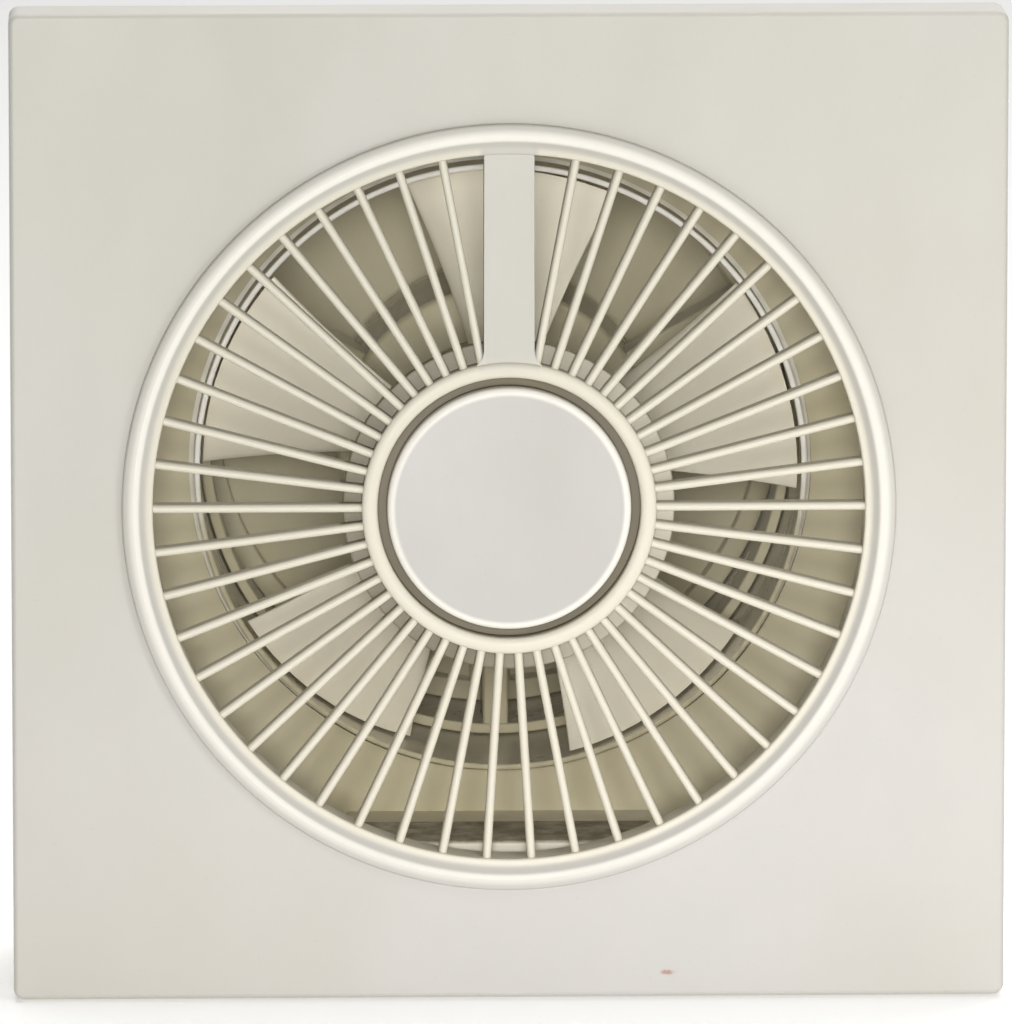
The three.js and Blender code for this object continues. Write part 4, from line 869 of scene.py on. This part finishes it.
def housing():
    """The tray with its throat collar, the duct spigot, and the raised base of the wiring compartment."""
    pocket = rounded_square(TRAY_HALF - TRAY_WALL, TRAY_CORNER_R - 1, 8)
    tray = cut(prism(rounded_square(TRAY_HALF, TRAY_CORNER_R, 8), TRAY_FRONT_Y, 0, 0.3),
               [prism(pocket, TRAY_FRONT_Y - 1, FLOOR_FRONT_Y, 0.6, 4)])
    outer = DUCT_R + COLLAR_WALL
    groove = tube_y(outer, outer + GROOVE_WIDTH, FLOOR_FRONT_Y - 1, FLOOR_FRONT_Y + GROOVE_DEPTH)
    tray = cut(tray, [groove])
    collar = turned(rounded([(DUCT_R, FLOOR_FRONT_Y + 2, 0), (DUCT_R, COLLAR_FRONT_Y, 0.35),
                             (outer, COLLAR_FRONT_Y, 0.35), (outer, FLOOR_FRONT_Y + 2, 0)], 5))
    spigot = tube_y(DUCT_R, SPIGOT_OUTER_R, FLOOR_FRONT_Y + GROOVE_DEPTH, SPIGOT_END_Y, edge=0.4)
    front, skin_back = PLATFORM_FRONT_Y, PLATFORM_FRONT_Y + PLATFORM_SKIN
    bottom = -TRAY_HALF + TRAY_WALL
    half = PLATFORM_HALF_WIDTH
    platform = block(-half, half, front, FLOOR_FRONT_Y + 0.5, bottom - 0.5, PLATFORM_TOP_Z, 0.4)
    hollow = block(-half + PLATFORM_SKIN, half - PLATFORM_SKIN, skin_back, 1.0, bottom + PLATFORM_SKIN,
                   PLATFORM_TOP_Z - 1.2, 0.5)
    root = front + 0.5
    posts = [bar_y(POST_R, CLAMP_BACK_Y + GAP, root, CLAMP_X, z, edge=0.2) for z in CLAMP_POST_PLACES_Z]
    cover_back = TERMINAL_COVER_FRONT_Y + TERMINAL_COVER_WALL
    posts.append(bar_y(POST_R, cover_back + GAP, root, *COVER_POST, edge=0.2))
    throat = bar_y(DUCT_R, COLLAR_FRONT_Y - 1, SPIGOT_END_Y + 1, segments=FINE)
    body = cut(joined([tray, collar, spigot, platform, *posts]), [throat])
    slot, gutter_front = LEAD_SLOT_HALF, -2.1
    gutter = block(-slot, slot, gutter_front, 1.0, PLATFORM_TOP_Z - 2, -SPIGOT_OUTER_R)
    window = block(-slot, slot, 30.5, 36.0, -SPIGOT_OUTER_R - 1, -DUCT_R + 2)
    tools = [hollow, gutter, window]
    tools += [keyhole(side * FIXING_AT, row * FIXING_AT) for side in (-1, 1) for row in (-1, 1)]
    tools += [bar_y(LEAD_R + 0.35, front - 1, skin_back + 1, x, LEAD_HOLE_Z) for x in TERMINAL_PLACES_X[:2]]
    clamp_bore, cover_bore = 1.2, 1.5
    tools += [bar_y(clamp_bore, front - 4, front + 0.4, CLAMP_X, z) for z in CLAMP_POST_PLACES_Z]
    tools.append(bar_y(cover_bore, TERMINAL_COVER_FRONT_Y, COVER_SCREW_END_Y + 0.5, *COVER_POST))
    tools.append(bar_y(GROMMET_NECK_R + 0.4, front - 1, skin_back + 1, *GROMMET, ROUND))
    return cut(body, tools)


def blade(centre_deg):
    """A cambered blade with rounded edges. Its span runs outwards and its chord runs round the hub."""
    root = IMPELLER_HUB_R - 1.0
    spans, chords = 22, 20
    along = [sin(pi / 2 * (2 * j / chords - 1)) for j in range(chords + 1)]
    loops = []
    for i in range(spans + 1):
        span = i / spans
        radius = root + (IMPELLER_TIP_R - root) * span
        half = BLADE_ROOT_HALF_DEG + (BLADE_TIP_HALF_DEG - BLADE_ROOT_HALF_DEG) * span
        thin = 1.0 if i < spans else 0.55
        loop = []
        for face, line in ((-1, along), (1, along[-2:0:-1])):
            for chord in line:
                angle = radians(centre_deg + half * chord)
                thick = BLADE_THICK * thin * sqrt(max(0.0, 1 - abs(chord) ** 14))
                camber = BLADE_CAMBER * (1 - chord * chord)
                y = BLADE_MID_Y + BLADE_PITCH_DEPTH / 2 * chord - camber + face * thick / 2
                loop.append((radius * cos(angle), y, radius * sin(angle)))
        loops.append(loop)
    return skin(loops)


def impeller():
    front, back = IMPELLER_FRONT_Y, IMPELLER_BACK_Y
    outer = IMPELLER_HUB_R
    inner = outer - 1.6
    tube, bore, bore_end = 4.6, 2.3, front + 2.6
    hub = turned(rounded([
        (0, front, 0), (outer - 3, front + 0.3, 3), (outer, front + 2.2, 2.2), (outer, back, 0.3),
        (inner, back, 0.3), (inner, front + 3.2, 1), (tube + 0.4, front + 2, 0.5), (tube, back - 3, 0),
        (bore, back - 3, 0), (bore, bore_end, 0), (0, bore_end, 0),
    ], 6), ROUND * 2)
    blades = [blade(BLADE_FIRST_DEG + number * 360 / BLADE_COUNT) for number in range(BLADE_COUNT)]
    whole = joined([hub, *blades])
    inside = tube_y(5.5, inner, front + 3.4, back + 1, ROUND)
    lining = tube_y(inner - 0.15, outer - 1.0, front + 4, back - 0.5, ROUND * 2)
    return joined([cut(whole, [inside]), lining])


def motor_carrier():
    """The motor can with its three struts, its ring and its two lugs."""
    front = CAN_FRONT_Y
    inner, inner_front = CAN_R - CAN_WALL, front + CAN_WALL
    shaft_hole, boss, seat = 3, BEARING_BOSS_R, BEARING_SEAT_R
    boss_back, seat_front = front + 5.2, front + 0.6
    can = turned(rounded([
        (shaft_hole, front, 0), (CAN_R, front, 1.2), (CAN_R, CAN_BACK_Y, 0.2), (inner, CAN_BACK_Y, 0.2),
        (inner, inner_front, 0.5), (boss, inner_front, 0.3), (boss - 0.2, boss_back, 0.2),
        (seat, boss_back, 0.2), (seat, seat_front, 0), (shaft_hole, seat_front, 0),
    ], 4), ROUND * 2)
    outer = CARRIER_RING_R
    ring = tube_y(outer - 1.6, outer, STRUT_FRONT_Y - 0.5, STRUT_BACK_Y + 1, edge=0.3)
    half = STRUT_HALF_WIDTH
    strut = block(CAN_R - 0.5, outer - 0.5, STRUT_FRONT_Y, STRUT_BACK_Y, -half, half, 0.5, 3)
    struts = [turned_by(strut, a) for a in STRUT_PLACES_DEG]
    lug_front = CAN_BACK_Y - 8
    lug = block(CAN_R - 0.8, LUG_REACH, lug_front, CAN_BACK_Y, -LUG_HALF_WIDTH, LUG_HALF_WIDTH, 0.5)
    whole = joined([can, ring, *struts, lug, mirrored(lug)])
    bore = bar_y(MOTOR_SCREW_BORE_R, lug_front + 1, CAN_BACK_Y + 1, MOTOR_SCREW_AT)
    lead_exit = block(-LEAD_SLOT_HALF, LEAD_SLOT_HALF, 31.5, 35.5, -CAN_R - 1, -inner + 1)
    return cut(whole, [bore, mirrored(bore), lead_exit])


def motor_rear_cover():
    front = CAN_BACK_Y + GAP
    back = front + REAR_COVER_SKIN
    seat_front, seat_back, end = 43.7, 48.3, 49.2
    disc = turned(rounded([
        (BEARING_SEAT_R, seat_front, 0), (BEARING_BOSS_R, seat_front, 0.2), (BEARING_BOSS_R, front, 0),
        (CAN_R, front, 0), (CAN_R, back, 0.5), (8.5, back + 0.3, 0.8), (7.5, end, 0.6), (0, end, 0),
        (0, seat_back, 0), (BEARING_SEAT_R, seat_back, 0),
    ], 5), ROUND * 2)
    lug = block(CAN_R - 1.5, LUG_REACH, front, back, -LUG_HALF_WIDTH, LUG_HALF_WIDTH, 0.3)
    hole = bar_y(MOTOR_SCREW_BORE_R, front - 1, front + 3, MOTOR_SCREW_AT)
    return cut(joined([disc, lug, mirrored(lug)]), [hole, mirrored(hole)])


def slotted_screw(seat_y, end_y, slot_deg, head_r, head_high, shank_r, slot_half, slot_deep):
    """A cheese-head screw on the axis, with its head towards -Y."""
    front = seat_y - head_high
    head = turned(rounded([(0, front, 0), (head_r, front, 0.35), (head_r, seat_y, 0.1), (0, seat_y, 0)], 4),
                  SMALL)
    shank = bar_y(shank_r, seat_y - 0.4, end_y, edge=0.2)
    slot = block(-head_r - 1, head_r + 1, front - 1, front + slot_deep, -slot_half, slot_half)
    return cut(joined([head, shank]), [turned_by(slot, slot_deg)])


def motor_screw(slot_deg):
    """A screw from the duct's side, with its head towards +Y."""
    seat = CAN_BACK_Y + GAP + REAR_COVER_SKIN + GAP
    end = CAN_BACK_Y - 6.5
    points, faces = slotted_screw(-seat, -end, slot_deg, *MOTOR_SCREW)
    return outward(points * np.array((1, -1, 1)) + np.array((MOTOR_SCREW_AT, 0, 0)), faces)


def shutter_frame():
    outer, inner, stop = CARRIER_RING_R, 45.0, 43.4
    front, back = SHUTTER_FRONT_Y, SHUTTER_BACK_Y
    ledge = SHUTTER_PIN_Y - FLAP_HALF_THICK - GAP
    ring = turned(rounded([(stop, front, 0.3), (outer, front, 0.3), (outer, back, 0.3), (inner, back, 0.3),
                           (inner, ledge, 0), (stop, ledge, 0.2)], 3))
    bar_half, bar_thick, lug_half = 3.2, 2.3, 2.3
    bar = block(-bar_half, bar_half, front, front + bar_thick, -44, 44, 0.4)
    lug = block(-lug_half, lug_half, front + 2, SHUTTER_PIN_Y + 2, -1.6, 1.6, 0.3)
    pin_hole = bar_z(SHUTTER_PIN_R + GAP, -outer - 1, outer + 1, 0, SHUTTER_PIN_Y)
    return cut(joined([ring, bar, lug]), [pin_hole])


def shutter_flap(knuckles):
    """The flap on the +X side: a thin half disc with stiffeners and knuckles round the pin."""
    front, back = SHUTTER_PIN_Y - FLAP_HALF_THICK, SHUTTER_PIN_Y + FLAP_HALF_THICK
    end = acos(FLAP_EDGE_X / FLAP_R)
    outline = [(FLAP_R * cos(a), FLAP_R * sin(a)) for a in np.linspace(-end, end, 97)]
    plate = prism(outline, front, back, 0.2)
    barrels = []
    for low, high in knuckles:
        barrels.append(bar_z(KNUCKLE_R, low, high, 0, SHUTTER_PIN_Y, edge=0.3))
        barrels.append(block(0, FLAP_EDGE_X + 0.5, front, back, low, high))
    near, far, high = 9, 36, 1.2
    stiffeners = [block(near, far, back - 0.2, back + high, z - 0.5, z + 0.5, 0.25) for z in (-22, 0, 22)]
    bore = bar_z(SHUTTER_PIN_R + GAP, -FLAP_R, FLAP_R, 0, SHUTTER_PIN_Y)
    return cut(joined([plate, *barrels, *stiffeners]), [bore])


def shutter_spring(low, side):
    """A coil round the pin, counted up from its low end."""
    turns, pitch, radius = 4, 1.05, 2.0
    line = []
    steps = 28
    for step in range(turns * steps + 1):
        a = side * (pi / 2 - 2 * pi * step / steps)
        y = SHUTTER_PIN_Y - radius * cos(a)
        line.append((radius * sin(a), y, low + pitch * step / steps))
    return wire(line, 0.3, 10)


def terminal_cover():
    """A cover open at its back and bottom, with the least of sinks under the head of its screw."""
    half, wall = 23.0, TERMINAL_COVER_WALL
    top, bottom = -53.4, -68.6
    front, back = TERMINAL_COVER_FRONT_Y, PLATFORM_FRONT_Y - GAP
    outer = block(-half, half, front, back, bottom, top, 0.7, 4)
    inside = block(-half + wall, half - wall, front + wall, back + 1, bottom - 1, top - wall)
    hole_r, sink_r, sink_deep = 1.7, 3.2, 0.01
    hole = bar_y(hole_r, front - 1, front + wall + 1, *COVER_POST)
    sink = bar_y(sink_r, front - 1, front + sink_deep, *COVER_POST, FINE)
    return cut(outer, [inside, hole, sink])


def terminal_block():
    front, back = -31.0, PLATFORM_FRONT_Y - GAP
    low, high = -68.2, -58.8
    left, right, bore = -20.0, 0.0, 2.2
    body = block(left, right, front, back, low, high, 0.35)
    tools = []
    for x in TERMINAL_PLACES_X:
        tools.append(bar_z(bore, low - 1, high + 1, x, TERMINAL_BORE_Y))
        for z in TERMINAL_SCREW_PLACES_Z:
            tools.append(bar_y(TERMINAL_SCREW_R + GAP, front - 1, TERMINAL_BORE_Y, x, z))
    for x in (-13.25, -6.75):
        tools.append(block(x - 0.5, x + 0.5, front - 1, front + 2, low - 1, high + 1))
    return cut(body, tools)


def terminal_screw(x, z, slot_deg):
    front, back = -30.4, TERMINAL_BORE_Y - 2.2
    body = bar_y(TERMINAL_SCREW_R, front, back, edge=0.15)
    slot = block(-2, 2, front - 1, front + 0.7, -0.25, 0.25)
    return moved(cut(body, [turned_by(slot, slot_deg)]), x, z)


def cord_clamp():
    """A bar across the cable, with a ridge that grips it and a hole for each screw."""
    half, hole = 2.4, 1.3
    left, right = CLAMP_X - half, CLAMP_X + half
    low, high = CLAMP_POST_PLACES_Z
    bar = block(left, right, CLAMP_FRONT_Y, CLAMP_BACK_Y, low - 2, high + 1.7, 0.4)
    grip = bar_x(0.5, left + 0.1, right - 0.1, CLAMP_BACK_Y, (low + high) / 2)
    holes = [bar_y(hole, CLAMP_FRONT_Y - 1, CLAMP_BACK_Y + 1, CLAMP_X, z) for z in CLAMP_POST_PLACES_Z]
    return cut(joined([bar, grip]), holes)


def cable_grommet():
    """A rubber ring whose two lips hold the skin of the platform between them."""
    front, back = PLATFORM_FRONT_Y, PLATFORM_FRONT_Y + PLATFORM_SKIN
    bore, neck, lip = 2.8, GROMMET_NECK_R, 5.2
    shape = turned(rounded([
        (bore, front - 1.7, 0.4), (lip, front - 1.7, 0.6), (lip, front - GAP, 0.1), (neck, front - GAP, 0),
        (neck, back + GAP, 0), (lip, back + GAP, 0.1), (lip, back + 1.5, 0.6), (bore, back + 1.5, 0.4),
    ], 4), ROUND)
    return moved(shape, *GROMMET)


def motor_lead(side, terminal_x):
    """Down from the can and out through the spigot wall, forwards along the spigot, through the gutter
    behind the tray floor, and up to the terminal."""
    x = side * 1.25
    run = terminal_x - x
    outside = -SPIGOT_OUTER_R - 1.3
    hole = LEAD_HOLE_Z
    in_can = [(33.5, -23.6), (33.5, -30), (33.5, -38), (33.5, -45), (33, -48.2), (31, outside - 0.2)]
    along_spigot = [(26, outside), (16, outside), (6, outside), (1.6, outside - 0.2)]
    in_gutter = [(-0.85, -52.3), (-0.85, -56.9), (-2.7, hole - 1.3)]
    to_terminal = [(-16.6, hole), (-19.2, hole), (-21.6, hole), (-23.6, hole - 0.4),
                   (TERMINAL_BORE_Y, hole - 1.9), (TERMINAL_BORE_Y, -61.8)]
    route = [(x, y, z) for y, z in in_can + along_spigot + in_gutter]
    route += [(x + run * 0.15, -5, hole - 0.5), (x + run * 0.88, -12.5, hole - 0.3)]
    route += [(terminal_x, y, z) for y, z in to_terminal]
    return wire(smooth_line(route, 6), LEAD_R)


COVER_PLASTIC = ("cover_plastic", COVER_LOOK)
HOUSING_PLASTIC = ("housing_plastic", HOUSING_LOOK)
STEEL = ("bright_steel", STEEL_LOOK)

piece("cover_moulding", front_cover(), ["front_cover"], COVER_PLASTIC, "cover")
piece("cap_moulding", centre_cap(), ["centre_cap"], ("cover_plastic", CAP_LOOK), "cover")
piece("housing_moulding", housing(), ["housing"], HOUSING_PLASTIC)
piece("impeller_moulding", impeller(), ["impeller"], ("impeller_plastic", BLADE_LOOK), "fan_rotor")
piece("carrier_moulding", motor_carrier(), ["motor_carrier"], HOUSING_PLASTIC)
piece("rear_cover_moulding", motor_rear_cover(), ["motor_rear_cover"], HOUSING_PLASTIC)
piece("motor_screw_a", motor_screw(25), ["motor_screw_right"], STEEL)
piece("motor_screw_b", mirrored(motor_screw(-50)), ["motor_screw_left"], STEEL)
piece("shutter_frame_moulding", shutter_frame(), ["shutter_frame"], HOUSING_PLASTIC)
pin = bar_z(SHUTTER_PIN_R, -SHUTTER_PIN_HALF, SHUTTER_PIN_HALF, 0, SHUTTER_PIN_Y, edge=0.3)
piece("shutter_pin_bar", pin, ["shutter_pin"], ("bright_steel", SHAFT_LOOK))
right_flap = shutter_flap([(4, 16), (-32, -20)])
piece("shutter_flap_a", right_flap, ["shutter_flap_right"], HOUSING_PLASTIC, "shutter_right")
left_flap = mirrored(shutter_flap([(20, 32), (-16, -4)]))
piece("shutter_flap_b", left_flap, ["shutter_flap_left"], HOUSING_PLASTIC, "shutter_left")
piece("spring_coil_a", shutter_spring(35, 1), ["shutter_spring_upper"], STEEL)
piece("spring_coil_b", shutter_spring(-40, -1), ["shutter_spring_lower"], STEEL)
piece("terminal_cover_moulding", terminal_cover(), ["terminal_cover"], ("cover_plastic", WIRING_LOOK))
cover_screw = slotted_screw(TERMINAL_COVER_FRONT_Y - GAP, COVER_SCREW_END_Y, 35, *COVER_SCREW)
cover_screw = moved(cover_screw, *COVER_POST)
piece("terminal_cover_fixing", cover_screw, ["terminal_cover_screw"], STEEL)
piece("terminal_block_moulding", terminal_block(), ["terminal_block"], ("block_plastic", BLOCK_LOOK))
SLOT_TURNS = iter((10, -35, 60, 80, -15, 40))
for name, x in zip(("live", "neutral", "switched"), TERMINAL_PLACES_X):
    for level, z in zip(("lower", "upper"), TERMINAL_SCREW_PLACES_Z):
        screw = terminal_screw(x, z, next(SLOT_TURNS))
        piece(f"clamp_screw_{name}_{level}", screw, [f"terminal_screw_{name}_{level}"], STEEL)
piece("cord_clamp_bar", cord_clamp(), ["cord_clamp"], ("black_nylon", NYLON_LOOK))
for level, z, turn in zip(("lower", "upper"), CLAMP_POST_PLACES_Z, (20, -40)):
    screw = slotted_screw(CLAMP_FRONT_Y - GAP, PLATFORM_FRONT_Y, turn, *CLAMP_SCREW)
    piece(f"clamp_fixing_{level}", moved(screw, CLAMP_X, z), [f"cord_clamp_screw_{level}"], STEEL)
piece("grommet_ring", cable_grommet(), ["cable_grommet"], ("rubber", RUBBER_LOOK))
piece("lead_brown", motor_lead(-1, TERMINAL_PLACES_X[0]), ["motor_lead_live"], ("brown_sleeve", BROWN_LOOK))
piece("lead_blue", motor_lead(1, TERMINAL_PLACES_X[1]), ["motor_lead_neutral"], ("blue_sleeve", BLUE_LOOK))


def dress(look, *nodes):
    """Give a look to CAD pieces that are shown as they are."""
    for node in nodes:
        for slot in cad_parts[node].material_slots:
            slot.material = look.material


dress(STEEL_LOOK, "impeller_clip")
dress(SHAFT_LOOK, "shaft")
dress(LAMINATION_LOOK, "rotor_core", "stator_core")
dress(CAST_LOOK, "rotor_end_ring_front", "rotor_end_ring_rear")
dress(NYLON_LOOK, "thrust_washer_front", "thrust_washer_rear", "bobbin_right", "bobbin_left")
dress(BRONZE_LOOK, "bearing_front", "bearing_rear")
dress(WINDING_LOOK, "coil_right", "coil_left")
dress(COPPER_LOOK, "shading_ring_right", "shading_ring_left")
dress(BRASS_LOOK, "terminal_insert_live", "terminal_insert_neutral", "terminal_insert_switched")


# ---- studio

VIEW_UP_DEG = 8.8
VIEW_LEFT_DEG = 1.8
VIEW_DISTANCE = 1.95
VIEW_WIDTH = 0.1563     # what the picture spans at the plate
WORLD_STRENGTH = 0.12


def floor():
    """A pale, faintly lit sheet that the object stands on."""
    low = -PLATE_HALF * MM - 0.0004
    look = Look("studio_floor")
    shade = look.span(look.noise(3.0, 2.0), 0.3, 0.7)
    look.set(Base_Color=look.mix(shade, (0.9, 0.9, 0.89), (0.92, 0.92, 0.91)), Roughness=0.9,
             Emission_Color=(1.0, 1.0, 0.99), Emission_Strength=0.22)
    mesh = bpy.data.meshes.new("floor")
    reach = 12.0
    corners = [(x * reach, y * reach, low) for x, y in ((-1, -1), (1, -1), (1, 1), (-1, 1))]
    mesh.from_pydata(corners, [], [(0, 1, 2, 3)])
    mesh.materials.append(look.material)
    obj = added("floor", mesh)


def aim(obj, target):
    obj.rotation_mode = "QUATERNION"
    obj.rotation_quaternion = (Vector(target) - obj.location).to_track_quat("-Z", "Y")


def area_light(name, across_deg, up_deg, distance, size, share):
    """A round soft box aimed at the plate's centre, so many degrees right of the fan axis and above it.
    A share of 1 alone would show a white surface facing it at the full brightness of white."""
    data = bpy.data.lights.new(name, "AREA")
    data.shape = "DISK"
    data.size = size
    data.energy = share * (pi * distance) ** 2
    obj = added(name, data)
    across, up = radians(across_deg), radians(up_deg)
    centre = Vector((0.0, PLATE_FRONT_Y * MM, 0.0))
    way = Vector((sin(across) * cos(up), -cos(across) * cos(up), sin(up)))
    obj.location = centre + way * distance
    obj.visible_camera = False
    aim(obj, centre)


def camera():
    """A long lens in front of the plate, a little above the axis and slightly to the left."""
    up, left = radians(VIEW_UP_DEG), radians(VIEW_LEFT_DEG)
    target = Vector((-0.0005, PLATE_FRONT_Y * MM, -0.0006))
    back = Vector((-sin(left) * cos(up), -cos(left) * cos(up), sin(up)))
    data = bpy.data.cameras.new("camera")
    data.sensor_width = 36.0
    data.lens = data.sensor_width / (VIEW_WIDTH / VIEW_DISTANCE)
    data.clip_start = 0.05
    data.clip_end = 50.0
    obj = added("camera", data)
    obj.location = target + back * VIEW_DISTANCE
    aim(obj, target)
    bpy.context.scene.camera = obj


floor()
camera()
area_light("ring", -VIEW_LEFT_DEG, VIEW_UP_DEG, 2.2, 0.45, 0.7)
area_light("key", 28, 45, 1.25, 0.4, 0.18)
area_light("low_right", 42, -1, 0.5, 0.08, 0.2)
area_light("top", 180, 79, 1.8, 1.2, 0.75)
area_light("back", 150, 35, 2.0, 1.0, 0.12)

world = bpy.data.worlds.new("studio")
bpy.context.scene.world = world
world.use_nodes = True
background = world.node_tree.nodes["Background"]
background.inputs["Color"].default_value = (1.0, 1.0, 1.0, 1.0)
background.inputs["Strength"].default_value = WORLD_STRENGTH

view = bpy.context.scene.view_settings
view.view_transform = "Standard"
view.look = "None"
view.exposure = 0.0
